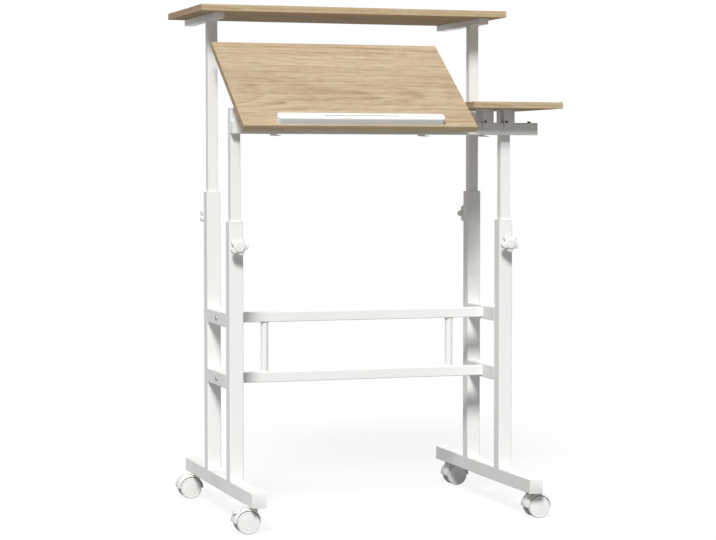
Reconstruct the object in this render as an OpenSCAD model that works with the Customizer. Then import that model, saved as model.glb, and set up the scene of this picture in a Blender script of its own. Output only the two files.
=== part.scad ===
/* [Foot bars and posts] */
// Width of the square steel tube of the foot bars, posts and bridges
tube_w = 35; // [32:1:42]
// Wall thickness of those tubes
tube_wall = 1.5; // [1:0.25:2]
// Outer corner radius of those tubes
tube_r = 2.5; // [2.5:0.25:4]
// Distance between the left and right post axes
post_span = 696.6; // [620:0.2:860]
// Distance between the front and rear post axes
post_pitch = 216; // [190:1:280]
// Length of each foot bar over its two end caps
foot_l = 650; // [600:1:740]
// Length of each front post above the foot bar
front_post_l = 623; // [520:1:700]
// Length of each rear post above the foot bar
rear_post_l = 692; // [560:1:760]
// Thickness of the plate of each foot bar end cap
cap_t = 3; // [2:0.5:5]
// Depth of the plug of an end cap inside its tube
plug_l = 12; // [8:1:20]
// Gap round a plug or a guide inside its tube
plug_gap = 0.2; // [0.1:0.05:0.4]

/* [Bridges, crossbars and struts] */
// Height of the upper bridge and crossbar axis above the foot bars
upper_rise = 386.5; // [330:0.5:450]
// Height of the lower bridge and crossbar axis above the foot bars
lower_rise = 237.5; // [150:0.5:290]
// Width of the square tube of the crossbars
crossbar_w = 25; // [20:1:32]
// Wall thickness of the thinner tubes: crossbars, struts, risers and beam
thin_wall = 1.2; // [1:0.1:1.5]
// Outer corner radius of the thinner tubes
thin_r = 2; // [1.6:0.1:3]
// Diameter of each round strut between the crossbars
strut_d = 19; // [14:1:24]
// Distance from each post axis in to the nearest strut axis
strut_in = 104.8; // [60:0.2:160]
// Length of the nut block in each crossbar end
nut_block_l = 22; // [16:1:30]
// Diameter of the crossbar bolts
bolt_d = 6; // [5:0.5:8]
// Diameter of the crossbar bolt heads
bolt_head_d = 12; // [11:0.5:16]
// Height of the crossbar bolt heads
bolt_head_h = 3; // [2:0.5:5]
// Depth of each crossbar bolt in its nut block
bolt_grip = 16; // [10:1:20]

/* [Risers and guides] */
// Width of the square riser tubes that slide in the posts
riser_w = 25; // [22:1:27]
// Length of each front riser inside its post
front_insert = 204; // [120:1:280]
// Length of each rear riser inside its post
rear_insert = 231; // [180:1:300]
// Running gap on each side of a riser inside its guide
guide_gap = 0.25; // [0.15:0.05:0.4]
// Thickness of the flange of a guide on the end of its post
guide_flange = 2; // [1.5:0.5:4]
// Depth of a guide inside its post
guide_l = 40; // [20:1:46]
// Height of the beam above the front posts at the photographed setting
desk_raise = 212.5; // [212:0.5:300]
// Height of the shelf above the rear posts at the photographed setting
shelf_raise = 445; // [420:1:560]

/* [Clamp knobs] */
// Distance from the end of a post down to its clamp screw
knob_drop = 57; // [54:1:90]
// Diameter of the clamp screws
stud_d = 8; // [6:0.5:10]
// Radial running gap of a clamp screw in its nut and of a knob on its screw
stud_gap = 0.05; // [0.02:0.01:0.1]
// Gap between the tip of a clamp screw and its riser
tip_gap = 0.2; // [0.1:0.1:0.5]
// Width across the flats of the weld nuts
nut_flats = 14; // [13:1:18]
// Height of the weld nuts
nut_h = 6.5; // [4:0.5:9]
// Length of screw that shows between a weld nut and its knob
stud_show = 5; // [3:0.5:9]
// Distance from the knob axis to the centre of a lobe
lobe_reach = 15; // [13:0.5:20]
// Diameter of a knob lobe
lobe_d = 15; // [11:0.5:17]
// Number of lobes on a knob
lobes = 5; // [4:1:6]
// Diameter of the solid middle of a knob
knob_core_d = 31; // [28:0.5:34]
// Thickness of the lobed part of a knob
knob_t = 16; // [12:0.5:22]
// Diameter of the neck behind the lobes
neck_d = 17; // [14:0.5:22]
// Length of the neck behind the lobes
neck_l = 6; // [3:0.5:10]
// Diameter of the raised cap on the front of a knob
button_d = 22; // [16:0.5:26]
// Height of the raised cap on the front of a knob
button_h = 3; // [1.5:0.5:5]
// Depth of the blind hole in the back of a knob
knob_hole = 13; // [9:0.5:15]
// Direction of one lobe of the front left knob, seen from the front
turn_front_left = -72; // [-180:1:180]
// Direction of one lobe of the front right knob, seen from the front
turn_front_right = -92; // [-180:1:180]
// Direction of one lobe of the rear left knob, seen from the front
turn_rear_left = -72; // [-180:1:180]
// Direction of one lobe of the rear right knob, seen from the front
turn_rear_right = 180; // [-180:1:180]

/* [Beam and clips] */
// Depth of the front beam, front to back
beam_d = 20; // [18:1:30]
// Height of the front beam
beam_h = 30.5; // [25:0.5:40]
// Length of beam that stands out past the right riser
beam_over = 65.7; // [62:0.1:90]
// Thickness of the plate of the small tube caps
small_cap_t = 2; // [1.5:0.5:4]
// Height of the front risers above the beam, with their caps
riser_above = 31.7; // [28:0.1:40]
// Sheet thickness of the clips and hinge leaves
sheet_t = 2; // [1.5:0.25:3]
// Width of each clip along the beam
clip_w = 28; // [24:1:34]
// Gap between the beam and the front plate of a clip
clip_front_gap = 1.5; // [0.5:0.1:3]
// Gap between a riser and the rear plate of a clip
clip_rear_gap = 0.4; // [0.3:0.1:1.5]
// Gap between the riser caps and the web of a clip
clip_top_gap = 0.5; // [0.3:0.1:2]
// Distance that the front plate of a clip reaches below the beam top
clip_drop = 15.4; // [8:0.1:22]
// Gap between the beam and the lip that hooks under it
lip_gap = 2; // [0.5:0.1:4]
// Length of the lip that hooks forward from the rear plate
lip_l = 31; // [30:1:34]
// Width of the lip and of the tongue that carries it
lip_w = 19; // [14:0.5:22]
// Diameter of the clip screws
clip_screw_d = 4; // [3:0.5:5]
// Diameter of the clip screw heads
clip_head_d = 7.5; // [6:0.5:8]
// Height of the clip screw heads
clip_head_h = 2.5; // [1.5:0.5:4]
// Distance from the left edge of a clip to its screw
clip_screw_in = 6; // [5:0.5:12]
// Gap between the clip screws and the top of the beam
clip_screw_lift = 0.1; // [0.1:0.1:0.5]
// Length of the stop screw in the beam
stop_screw_l = 8; // [5:0.5:12]
// Distance from the beam's right end to its stop screw
stop_in = 19.5; // [12:0.5:25]
// Diameter of the head of the stop screw
stop_head_d = 9; // [6:0.5:11]
// Height of the head of the stop screw
stop_head_h = 4; // [2.5:0.5:6]

/* [Tilting board] */
// Width of the tilting board
board_w = 585; // [520:1:590]
// Length of the tilting board along its slope
board_l = 364; // [320:1:366]
// Thickness of all the wooden boards
board_t = 16; // [15:1:19]
// Slope of the tilting board above level at the photographed setting
board_tilt = 35.15; // [20:0.05:45]
// Distance from the front edge of the board to its hinge line
hinge_back = 157.6; // [157:0.1:190]
// Distance from the hinge line up to the underside of the board
hinge_under = 10; // [10:0.5:14]
// Height of the hinge line above the web of the clips
hinge_rise = 22.8; // [21:0.1:34]
// Distance of the hinge line in front of the front post axis
hinge_fwd = 12; // [6:0.5:16]
// Distance between the two board clips
board_clip_pitch = 380.5; // [300:0.5:420]
// Sideways shift of the two clips from the middle of the board
board_clip_shift = 18.7; // [0:0.1:30]
// Diameter of the hinge pins
hinge_pin_d = 6; // [5:0.5:7]
// Radial gap of the hinge ears on their pins
hinge_gap = 0.05; // [0.02:0.01:0.1]
// Radius of the rounded end of a hinge ear
ear_r = 7; // [6:0.25:7.5]
// Half width of the foot of a clip's ear, in ear radii
clip_ear_foot = 2; // [1.2:0.1:2]
// Half width of the foot of a leaf's ear, in ear radii
leaf_ear_foot = 1.6; // [1.2:0.1:2]
// Sideways gap between the ears of a clip and those of a leaf
ear_gap = 0.4; // [0.3:0.1:1]
// Width of a hinge leaf along the hinge line
leaf_w = 60; // [56:1:80]
// Length of a hinge leaf along the slope
leaf_l = 44; // [36:1:60]
// Diameter of the heads of the hinge pins
pin_head_d = 9; // [8:0.5:12]
// Height of the heads of the hinge pins
pin_head_h = 2; // [1.5:0.5:3]

/* [Stop ledge] */
// Length of the stop ledge across the board
ledge_l = 418; // [250:1:500]
// Width of the bare strip of board in front of the stop ledge
ledge_edge = 4.5; // [0:0.5:8]
// Depth of the stop ledge along the slope
ledge_d = 25; // [18:0.5:30]
// Height of the stop ledge above the board
ledge_h = 18; // [14:0.5:25]
// Corner radius at the two ends of the ledge
ledge_r = 9; // [4:0.5:9]
// Length of the groove in the top of the ledge
groove_l = 185; // [120:1:230]
// Width of the groove in the top of the ledge
groove_w = 4; // [3:0.5:8]
// Depth of the groove in the top of the ledge
groove_d = 5; // [3:0.5:7]
// Distance between neighbouring ledge screws
ledge_screw_pitch = 120; // [100:1:200]

/* [Side board] */
// Width of the side board
side_w = 234.8; // [200:0.2:300]
// Depth of the side board, front to back
side_d = 285; // [240:1:286]
// Distance of the side board's front edge in front of the front post axis
side_fwd = 97; // [80:1:130]
// Distance from the left edge of the side board to its right clip
side_clip_in = 117; // [100:0.5:140]
// Distance between the two side clips
side_clip_pitch = 56; // [48:0.5:70]
// Sideways shift of the right side clip from the right riser
side_clip_shift = 0.7; // [0:0.1:4]
// Gap between the tilting board and the side board
side_gap = 14; // [12:0.5:30]

/* [Top shelf] */
// Width of the top shelf
shelf_w = 800; // [800:1:1000]
// Depth of the top shelf
shelf_d = 356; // [300:1:420]
// Distance of the shelf's front edge in front of the rear post axis
shelf_fwd = 106; // [60:1:107]
// Width of each shelf bracket
bracket_w = 25; // [24:0.5:30]
// Height of each shelf bracket
bracket_h = 16.5; // [14:0.5:20]
// Distance from the shelf's front edge to the front end of a bracket
bracket_in_front = 26; // [18:1:28]
// Distance from the rear end of a bracket to the shelf's rear edge
bracket_in_rear = 20; // [14:1:40]
// Diameter of the hole in a bracket's underside below each screw
bracket_door_d = 10; // [9:0.5:12]

/* [Wood screws] */
// Diameter of the wood screws
wood_screw_d = 4; // [3:0.5:4]
// Diameter of the wood screw heads
wood_head_d = 8; // [6:0.5:8]
// Height of the wood screw heads
wood_head_h = 2; // [1.5:0.25:2.5]
// Depth of the wood screws in the wood
wood_bite = 11; // [8:0.5:12]
// Radial gap round a screw in its hole
screw_gap = 0.05; // [0.02:0.01:0.1]
// Sheet left beside the screw heads of a hinge leaf, along the hinge line
leaf_edge = 1.5; // [1:0.25:3]
// Sheet left beside the screw heads of a hinge leaf, along the slope
leaf_end = 4; // [2:0.5:6]
// Sheet left beside the screw heads of a side clip
side_screw_edge = 2; // [1:0.25:3]
// Distance from the front end of a shelf bracket to its first screw
bracket_screw_front = 12; // [8:0.5:14]
// Distance of a bracket's middle screw behind the bracket's middle
bracket_screw_mid = 20; // [0:1:40]
// Distance from the rear end of a shelf bracket to its last screw
bracket_screw_rear = 14; // [8:0.5:24]
// Plastic left between a ledge screw and the groove above it
ledge_floor = 3; // [2.5:0.5:4]

/* [Casters] */
// Diameter of the twin wheels
wheel_d = 54; // [50:1:64]
// Width of one of the two wheels
wheel_w = 13; // [10:0.5:16]
// Gap between the inner faces of the two wheels
wheel_part = 18.6; // [18.2:0.1:22]
// Rounding of the wheel edges
wheel_edge = 2; // [1:0.5:4]
// Diameter of the wheel axle
axle_d = 6; // [5:0.5:8]
// Radial gap of the axle and the brake pivot in their holes
axle_gap = 0.05; // [0.02:0.01:0.1]
// Distance of the wheel axle behind the swivel axis
trail = 19; // [17:0.5:24]
// Gap between the wheels and the inside of the hood
hood_gap = 2; // [1.5:0.25:3]
// Wall thickness of the hood
hood_wall = 3; // [2:0.25:4]
// Thickness of the web between the wheels
web_t = 10; // [8:0.5:10]
// Diameter of the swivel boss
boss_d = 17; // [16:0.5:17]
// Diameter of the swivel pin
stem_d = 11; // [9:0.5:12]
// Radial gap of the swivel pin in its boss
stem_gap = 0.05; // [0.02:0.01:0.1]
// Length of swivel pin that shows under the foot bar, with its collar
stem_show = 5; // [4:0.5:8]
// Thickness of the collar of the swivel pin
collar_t = 2; // [1.5:0.25:3]
// Diameter of the collar of the swivel pin
collar_d = 18; // [16:0.5:24]
// Depth of the swivel pin in the boss
stem_in = 29; // [20:0.5:30]
// Diameter of the threaded end of the swivel pin in the foot bar
thread_d = 10; // [8:0.5:10]
// Length of the threaded end of the swivel pin
thread_l = 18; // [14:0.5:24]
// Distance of the swivel axis from the end of the foot bar
caster_in = 46; // [40:1:60]
// Width across the flats of the weld nuts of the casters
foot_nut_flats = 17; // [15:0.5:20]
// Diameter of the hub of the hood round the axle
hub_d = 18; // [14:0.5:22]
// Length of boss below the end of the swivel pin
boss_floor = 6; // [4:0.5:7]

/* [Brake levers] */
// Width of the lever tab
lever_w = 16; // [13:0.5:17]
// Thickness of the lever tab
lever_t = 3; // [2:0.25:3.5]
// Distance of the lever tip behind the axle
lever_reach = 32.5; // [31:0.5:38]
// Height of the middle of the tab above the axle
lever_rise = 23; // [22:0.25:24]
// Distance of the lever pivot behind the axle
lever_pivot_back = 10; // [9:0.25:11]
// Height of the lever pivot above the axle
lever_pivot_rise = 20; // [19:0.25:20.5]
// Diameter of the lever pivot
lever_pin_d = 4; // [3:0.5:5]
// Clearance of the lever beside the web and in its slot
lever_gap = 0.5; // [0.3:0.1:0.6]
// Room under the tab in its slot
lever_room = 2; // [1:0.25:2.5]
// Length of the two cheeks behind the pivot
cheek_over = 6; // [5:0.5:8]

/* [Hidden] */

// Round parts are drawn finely
$fn = 64;
// Signs that say on which side a piece stands
LEFT = -1;
RIGHT = 1;
FRONT = -1;
REAR = 1;
// Length by which a cut runs past the face that it opens
over = 1;

// Colours of the finishes
steel_white = "#f2f2ef";
plastic_white = "#f7f7f5";
oak = "#d9b68a";
zinc = "#b9bbbd";
black_steel = "#2b2b2b";

// Heights, from the floor up
hood_r = wheel_d / 2 + hood_gap + hood_wall;
axle_z = wheel_d / 2;
foot_bottom = axle_z + hood_r + stem_show;
foot_top = foot_bottom + tube_w;
upper_z = foot_top + upper_rise;
lower_z = foot_top + lower_rise;
front_top = foot_top + front_post_l;
rear_top = foot_top + rear_post_l;
beam_bottom = front_top + desk_raise;
beam_top = beam_bottom + beam_h;
riser_cap_top = beam_top + riser_above;
web_under = riser_cap_top + clip_top_gap;
clip_top = web_under + sheet_t;
hinge_z = clip_top + hinge_rise;
shelf_under = rear_top + shelf_raise;

// Places from front to back
post_y = post_pitch / 2;
beam_back = -post_y - riser_w / 2;
beam_front = beam_back - beam_d;
beam_mid = (beam_back + beam_front) / 2;
clip_front = beam_front - clip_front_gap - sheet_t;
clip_back = -post_y + riser_w / 2 + clip_rear_gap + sheet_t;
clip_d = clip_back - clip_front;
hinge_y = -post_y - hinge_fwd;
side_front = -post_y - side_fwd;
shelf_front = post_y - shelf_fwd;
bracket_front = shelf_front + bracket_in_front;
bracket_l = shelf_d - bracket_in_front - bracket_in_rear;
caster_y = foot_l / 2 - caster_in;

// Places from left to right
post_x = post_span / 2;
tube_face = tube_w / 2;
side_clip_right_x = post_x + side_clip_shift;
side_clip_left_x = side_clip_right_x - side_clip_pitch;
side_left = side_clip_right_x - side_clip_in;
board_right = side_left - side_gap;
board_x = board_right - board_w / 2;
board_clip_mid = board_x + board_clip_shift;
beam_left_x = -post_x - riser_w / 2;
beam_right_x = post_x + riser_w / 2 + beam_over;
stop_x = beam_right_x - stop_in;

// The frame's origin is the middle of the whole desk, on the floor
x_low = min(-shelf_w / 2, -post_x - trail - hood_r);
x_high = max(shelf_w / 2, side_left + side_w, beam_right_x);
y_low = min(-foot_l / 2, side_front);
y_high = max(foot_l / 2, shelf_front + shelf_d);
middle = [-(x_low + x_high) / 2, -(y_low + y_high) / 2, 0];

// Sizes that follow from a fit
plug_w = tube_w - 2 * tube_wall - 2 * plug_gap;
guide_hole = riser_w + 2 * guide_gap;

// Gap round the small plugs in the risers and the beam
thin_plug_gap = 0.15;

// Places of the wood screws, each set in from the edge of its sheet
leaf_screw_x = leaf_w / 2 - wood_head_d / 2 - leaf_edge;
leaf_screw_y = leaf_l / 2 - wood_head_d / 2 - leaf_end;
bracket_screws = [bracket_screw_front, bracket_l / 2 + bracket_screw_mid, bracket_l - bracket_screw_rear];
side_screw_x = clip_w / 2 - wood_head_d / 2 - side_screw_edge;
ledge_y = -hinge_back + ledge_edge + ledge_d / 2;
ledge_bite = ledge_h - groove_d - ledge_floor;

module placed() translate(middle) children();

module round_rect(w, h, r) {
    square([w - 2 * r, h], center = true);
    square([w, h - 2 * r], center = true);
    for (sx = [-1, 1], sy = [-1, 1])
        translate([sx * (w / 2 - r), sy * (h / 2 - r)])
            circle(r);
}

// A square or oblong tube that stands along Z from the origin
module box_tube(w, h, r, wall, l) {
    difference() {
        linear_extrude(l)
            round_rect(w, h, r);
        translate([0, 0, -over])
            linear_extrude(l + 2 * over)
                round_rect(w - 2 * wall, h - 2 * wall, max(r - wall, 0.4));
    }
}

// A cap whose plate lies on a tube's end and whose plug stands in the tube, along Z
module end_cap(w, h, r, wall, plate, plug, gap) {
    linear_extrude(plate)
        round_rect(w, h, r);
    translate([0, 0, -plug])
        linear_extrude(plug + over / 2)
            round_rect(w - 2 * wall - 2 * gap, h - 2 * wall - 2 * gap, max(r - wall, 0.4) + gap);
}

// A cylinder along Y, from y = 0 in the direction of the sign
module rod_y(d, l, way = 1) {
    rotate([-way * 90, 0, 0])
        cylinder(d = d, h = l);
}

// A cylinder along X, from x = 0 in the direction of the sign
module rod_x(d, l, way = 1) {
    rotate([0, way * 90, 0])
        cylinder(d = d, h = l);
}

// A wood screw that goes up into the wood from the origin, with its head below
module wood_screw(through, bite) {
    translate([0, 0, -wood_head_h])
        cylinder(d = wood_head_d, h = wood_head_h);
    cylinder(d = wood_screw_d, h = through + bite);
}

// The hole that a wood screw needs
module screw_hole(l) {
    cylinder(d = wood_screw_d + 2 * screw_gap, h = l);
}

// Foot bars

module foot_bar(s) {
    color(steel_white)
        placed()
            translate([s * post_x, 0, foot_bottom + tube_w / 2])
                difference() {
                    union() {
                        translate([0, foot_l / 2 - cap_t, 0])
                            rotate([90, 0, 0])
                                box_tube(tube_w, tube_w, tube_r, tube_wall, foot_l - 2 * cap_t);
                        for (e = [FRONT, REAR])
                            translate([0, e * caster_y, -tube_w / 2 + tube_wall / 2])
                                cylinder(d = foot_nut_flats / cos(30), h = nut_h + tube_wall / 2, $fn = 6);
                    }
                    for (e = [FRONT, REAR])
                        translate([0, e * caster_y, -tube_w / 2 - over])
                            cylinder(d = thread_d + 2 * screw_gap, h = nut_h + tube_wall + 3 * over);
                }
}

module foot_bar_left() foot_bar(LEFT);
module foot_bar_right() foot_bar(RIGHT);

module foot_bar_caps() {
    color(plastic_white)
        placed()
            for (s = [LEFT, RIGHT], e = [FRONT, REAR])
                translate([s * post_x, e * (foot_l / 2 - cap_t), foot_bottom + tube_w / 2])
                    rotate([-e * 90, 0, 0])
                        end_cap(tube_w, tube_w, tube_r, tube_wall, cap_t, plug_l, plug_gap);
}

// Posts

module post(s, e, l) {
    color(steel_white)
        placed()
            translate([s * post_x, e * post_y, foot_top])
                difference() {
                    union() {
                        box_tube(tube_w, tube_w, tube_r, tube_wall, l);
                        translate([0, e * (tube_face - tube_wall / 2), l - knob_drop])
                            rotate([-e * 90, 0, 0])
                                cylinder(d = nut_flats / cos(30), h = nut_h + tube_wall / 2, $fn = 6);
                    }
                    translate([0, e * (riser_w / 2 + 2 * tip_gap), l - knob_drop])
                        rod_y(stud_d + 2 * stud_gap, tube_w, e);
                }
}

module post_front_left() post(LEFT, FRONT, front_post_l);
module post_front_right() post(RIGHT, FRONT, front_post_l);
module post_rear_left() post(LEFT, REAR, rear_post_l);
module post_rear_right() post(RIGHT, REAR, rear_post_l);

// Bridges between the posts of a side, and the crossbars between the sides

module bridge(s, z) {
    color(steel_white)
        placed()
            translate([s * post_x, 0, z])
                difference() {
                    translate([0, post_y - tube_face, 0])
                        rotate([90, 0, 0])
                            box_tube(tube_w, tube_w, tube_r, tube_wall, post_pitch - tube_w);
                    translate([-tube_w, 0, 0])
                        rod_x(bolt_d + 2 * screw_gap, 2 * tube_w);
                }
}

module bridge_upper_left() bridge(LEFT, upper_z);
module bridge_upper_right() bridge(RIGHT, upper_z);
module bridge_lower_left() bridge(LEFT, lower_z);
module bridge_lower_right() bridge(RIGHT, lower_z);

module crossbar(z) {
    half = post_x - tube_face;
    color(steel_white)
        placed()
            translate([0, 0, z])
                difference() {
                    union() {
                        translate([-half, 0, 0])
                            rotate([90, 0, 90])
                                box_tube(crossbar_w, crossbar_w, thin_r, thin_wall, 2 * half);
                        for (s = [LEFT, RIGHT])
                            translate([s * (half - nut_block_l / 2), 0, 0])
                                cube([nut_block_l, crossbar_w - thin_wall, crossbar_w - thin_wall], center = true);
                    }
                    for (s = [LEFT, RIGHT])
                        translate([s * (half + over), 0, 0])
                            rod_x(bolt_d + 2 * screw_gap, bolt_grip + 2 * over, -s);
                }
}

module crossbar_upper() crossbar(upper_z);
module crossbar_lower() crossbar(lower_z);

module strut(s) {
    z0 = lower_z + crossbar_w / 2;
    z1 = upper_z - crossbar_w / 2;
    color(steel_white)
        placed()
            translate([s * (post_x - strut_in), 0, z0])
                difference() {
                    cylinder(d = strut_d, h = z1 - z0);
                    translate([0, 0, -over])
                        cylinder(d = strut_d - 2 * thin_wall, h = z1 - z0 + 2 * over);
                }
}

module strut_left() strut(LEFT);
module strut_right() strut(RIGHT);

module crossbar_bolts() {
    color(zinc)
        placed()
            for (s = [LEFT, RIGHT], z = [lower_z, upper_z])
                translate([s * (post_x + tube_face), 0, z]) {
                    rod_x(bolt_head_d, bolt_head_h, s);
                    rod_x(bolt_d, tube_w + bolt_grip, -s);
                }
}

// Guides in the post ends and risers that slide in them

module guide(s, e, top) {
    translate([s * post_x, e * post_y, top])
        difference() {
            union() {
                linear_extrude(guide_flange)
                    round_rect(tube_w, tube_w, tube_r);
                translate([0, 0, -guide_l])
                    linear_extrude(guide_l + guide_flange / 2)
                        round_rect(plug_w, plug_w, max(tube_r - tube_wall, 0.4) + plug_gap);
            }
            translate([0, 0, -guide_l - over])
                linear_extrude(guide_l + guide_flange + 2 * over)
                    round_rect(guide_hole, guide_hole, thin_r);
        }
}

module tube_guides() {
    color(plastic_white)
        placed()
            for (s = [LEFT, RIGHT]) {
                guide(s, FRONT, front_top);
                guide(s, REAR, rear_top);
            }
}

module riser(s, e, bottom, top) {
    color(steel_white)
        placed()
            translate([s * post_x, e * post_y, bottom])
                box_tube(riser_w, riser_w, thin_r, thin_wall, top - bottom);
}

module riser_front_left() riser(LEFT, FRONT, front_top - front_insert, riser_cap_top - small_cap_t);
module riser_front_right() riser(RIGHT, FRONT, front_top - front_insert, riser_cap_top - small_cap_t);
module riser_rear_left() riser(LEFT, REAR, rear_top - rear_insert, shelf_under - bracket_h);
module riser_rear_right() riser(RIGHT, REAR, rear_top - rear_insert, shelf_under - bracket_h);

// Clamp screws and knobs

// Puts a piece on the clamp axis of a post, with Z pointing away from the post
module on_clamp(s, e, top) {
    placed()
        translate([s * post_x, e * post_y, top - knob_drop])
            rotate([-e * 90, 0, 0])
                children();
}

knob_back = tube_face + nut_h + stud_show;

module clamp_screw(s, e, top) {
    tip = riser_w / 2 + tip_gap;
    color(zinc)
        on_clamp(s, e, top)
            translate([0, 0, tip])
                cylinder(d = stud_d, h = knob_back + knob_hole - 2 * tip_gap - tip);
}

module knob(s, e, top, turn) {
    color(plastic_white)
        on_clamp(s, e, top)
            translate([0, 0, knob_back])
                difference() {
                    union() {
                        cylinder(d = neck_d, h = neck_l + over);
                        translate([0, 0, neck_l])
                            linear_extrude(knob_t) {
                                circle(d = knob_core_d);
                                for (i = [0 : lobes - 1])
                                    rotate(-e * turn + i * 360 / lobes)
                                        translate([lobe_reach, 0])
                                            circle(d = lobe_d);
                            }
                        translate([0, 0, neck_l + knob_t - over])
                            cylinder(d = button_d, h = button_h + over);
                    }
                    translate([0, 0, -over])
                        cylinder(d = stud_d + 2 * stud_gap, h = knob_hole + over);
                }
}

module clamp_screw_front_left() clamp_screw(LEFT, FRONT, front_top);
module clamp_screw_front_right() clamp_screw(RIGHT, FRONT, front_top);
module clamp_screw_rear_left() clamp_screw(LEFT, REAR, rear_top);
module clamp_screw_rear_right() clamp_screw(RIGHT, REAR, rear_top);
module knob_front_left() knob(LEFT, FRONT, front_top, turn_front_left);
module knob_front_right() knob(RIGHT, FRONT, front_top, turn_front_right);
module knob_rear_left() knob(LEFT, REAR, rear_top, turn_rear_left);
module knob_rear_right() knob(RIGHT, REAR, rear_top, turn_rear_right);

// Front beam and its caps

module front_beam() {
    l = beam_right_x - beam_left_x - 2 * small_cap_t;
    color(steel_white)
        placed()
            difference() {
                translate([beam_left_x + small_cap_t, beam_mid, beam_bottom + beam_h / 2])
                    rotate([90, 0, 90])
                        box_tube(beam_d, beam_h, thin_r, thin_wall, l);
                translate([stop_x, beam_mid, beam_top - 2 * thin_wall])
                    cylinder(d = clip_screw_d + 2 * screw_gap, h = 3 * thin_wall);
            }
}

module tube_caps() {
    color(plastic_white)
        placed() {
            for (s = [LEFT, RIGHT])
                translate([s * post_x, -post_y, riser_cap_top - small_cap_t])
                    end_cap(riser_w, riser_w, thin_r, thin_wall, small_cap_t, plug_l, thin_plug_gap);
            translate([beam_left_x + small_cap_t, beam_mid, beam_bottom + beam_h / 2])
                rotate([90, 0, -90])
                    end_cap(beam_d, beam_h, thin_r, thin_wall, small_cap_t, plug_l, thin_plug_gap);
            translate([beam_right_x - small_cap_t, beam_mid, beam_bottom + beam_h / 2])
                rotate([90, 0, 90])
                    end_cap(beam_d, beam_h, thin_r, thin_wall, small_cap_t, plug_l, thin_plug_gap);
        }
}

// Clips that straddle the beam

// A clip centred on x, with or without the lip that hooks under the beam
module clip_body(x, lip) {
    plate_low = beam_top - clip_drop;
    lip_low = beam_bottom - lip_gap - sheet_t;
    translate([x - clip_w / 2, 0, 0])
        difference() {
            union() {
                translate([0, clip_front, web_under])
                    cube([clip_w, clip_d, sheet_t]);
                for (y = [clip_front, clip_back - sheet_t])
                    translate([0, y, plate_low])
                        cube([clip_w, sheet_t, clip_top - plate_low]);
                if (lip)
                    translate([(clip_w - lip_w) / 2, clip_back, lip_low]) {
                        translate([0, -sheet_t, 0])
                            cube([lip_w, sheet_t, clip_top - lip_low]);
                        translate([0, -lip_l, 0])
                            cube([lip_w, lip_l, sheet_t]);
                    }
            }
            translate([clip_screw_in, clip_front - over, clip_screw_z])
                rod_y(clip_screw_d + 2 * screw_gap, sheet_t + 2 * over);
        }
}

clip_screw_z = beam_top + clip_screw_d / 2 + clip_screw_lift;

// The screw of a clip, whose shank lies just above the beam
module clip_screw(x) {
    translate([x - clip_w / 2 + clip_screw_in, clip_front, clip_screw_z]) {
        rod_y(clip_head_d, clip_head_h, -1);
        rod_y(clip_screw_d, beam_back - clip_front - over);
    }
}

// An upright ear round the hinge line, in the plane across the hinge
module ear_outline(foot_half, foot_z) {
    circle(ear_r);
    polygon([[-foot_half, foot_z], [foot_half, foot_z], [ear_r, 0], [-ear_r, 0]]);
}

module board_clip(x) {
    color(steel_white)
        placed() {
            clip_body(x, true);
            for (s = [LEFT, RIGHT])
                translate([x + s * (clip_w / 2 - sheet_t / 2), hinge_y, hinge_z])
                    rotate([90, 0, 90])
                        translate([0, 0, -sheet_t / 2])
                            linear_extrude(sheet_t)
                                difference() {
                                    ear_outline(clip_ear_foot * ear_r, web_under - hinge_z);
                                    circle(d = hinge_pin_d + 2 * hinge_gap);
                                }
        }
}

board_clip_xs = [board_clip_mid - board_clip_pitch / 2, board_clip_mid + board_clip_pitch / 2];
side_clip_xs = [side_clip_left_x, side_clip_right_x];

module board_clip_left() board_clip(board_clip_xs[0]);
module board_clip_right() board_clip(board_clip_xs[1]);

module beam_screws() {
    color(black_steel)
        placed() {
            for (x = board_clip_xs)
                clip_screw(x);
            translate([stop_x, beam_mid, beam_top])
                cylinder(d = stop_head_d, h = stop_head_h);
            translate([stop_x, beam_mid, beam_top - stop_screw_l])
                cylinder(d = clip_screw_d, h = stop_screw_l + over);
        }
}

pin_half = clip_w / 2 + ear_gap + sheet_t + ear_gap;

module hinge_pins() {
    color(zinc)
        placed()
            for (x = board_clip_xs)
                translate([x, hinge_y, hinge_z]) {
                    translate([-pin_half - pin_head_h / 2, 0, 0])
                        rod_x(hinge_pin_d, 2 * pin_half + pin_head_h);
                    for (s = [LEFT, RIGHT])
                        translate([s * pin_half, 0, 0])
                            rod_x(pin_head_d, pin_head_h, s);
                }
}

// Tilting board, drawn level round its hinge line and then sloped

module on_board() {
    placed()
        translate([0, hinge_y, hinge_z])
            rotate([board_tilt, 0, 0])
                children();
}

module leaf_screw_places() {
    for (x = board_clip_xs, sx = [-1, 1], sy = [-1, 1])
        translate([x + sx * leaf_screw_x, sy * leaf_screw_y, 0])
            children();
}

module ledge_screw_places() {
    for (i = [-1 : 1])
        translate([board_x + i * ledge_screw_pitch, ledge_y, 0])
            children();
}

module main_board() {
    color(oak)
        on_board()
            difference() {
                translate([board_x - board_w / 2, -hinge_back, hinge_under])
                    cube([board_w, board_l, board_t]);
                leaf_screw_places()
                    translate([0, 0, hinge_under - over])
                        screw_hole(wood_bite + 1.5 * over);
                ledge_screw_places()
                    translate([0, 0, hinge_under - over])
                        screw_hole(board_t + 2 * over);
            }
}

module board_ledge() {
    color(plastic_white)
        on_board()
            translate([board_x, ledge_y, hinge_under + board_t])
                difference() {
                    linear_extrude(ledge_h)
                        round_rect(ledge_l, ledge_d, ledge_r);
                    translate([-groove_l / 2, -groove_w / 2, ledge_h - groove_d])
                        cube([groove_l, groove_w, groove_d + over]);
                    for (i = [-1 : 1])
                        translate([i * ledge_screw_pitch, 0, -over])
                            screw_hole(ledge_bite + 2 * over);
                }
}

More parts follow.
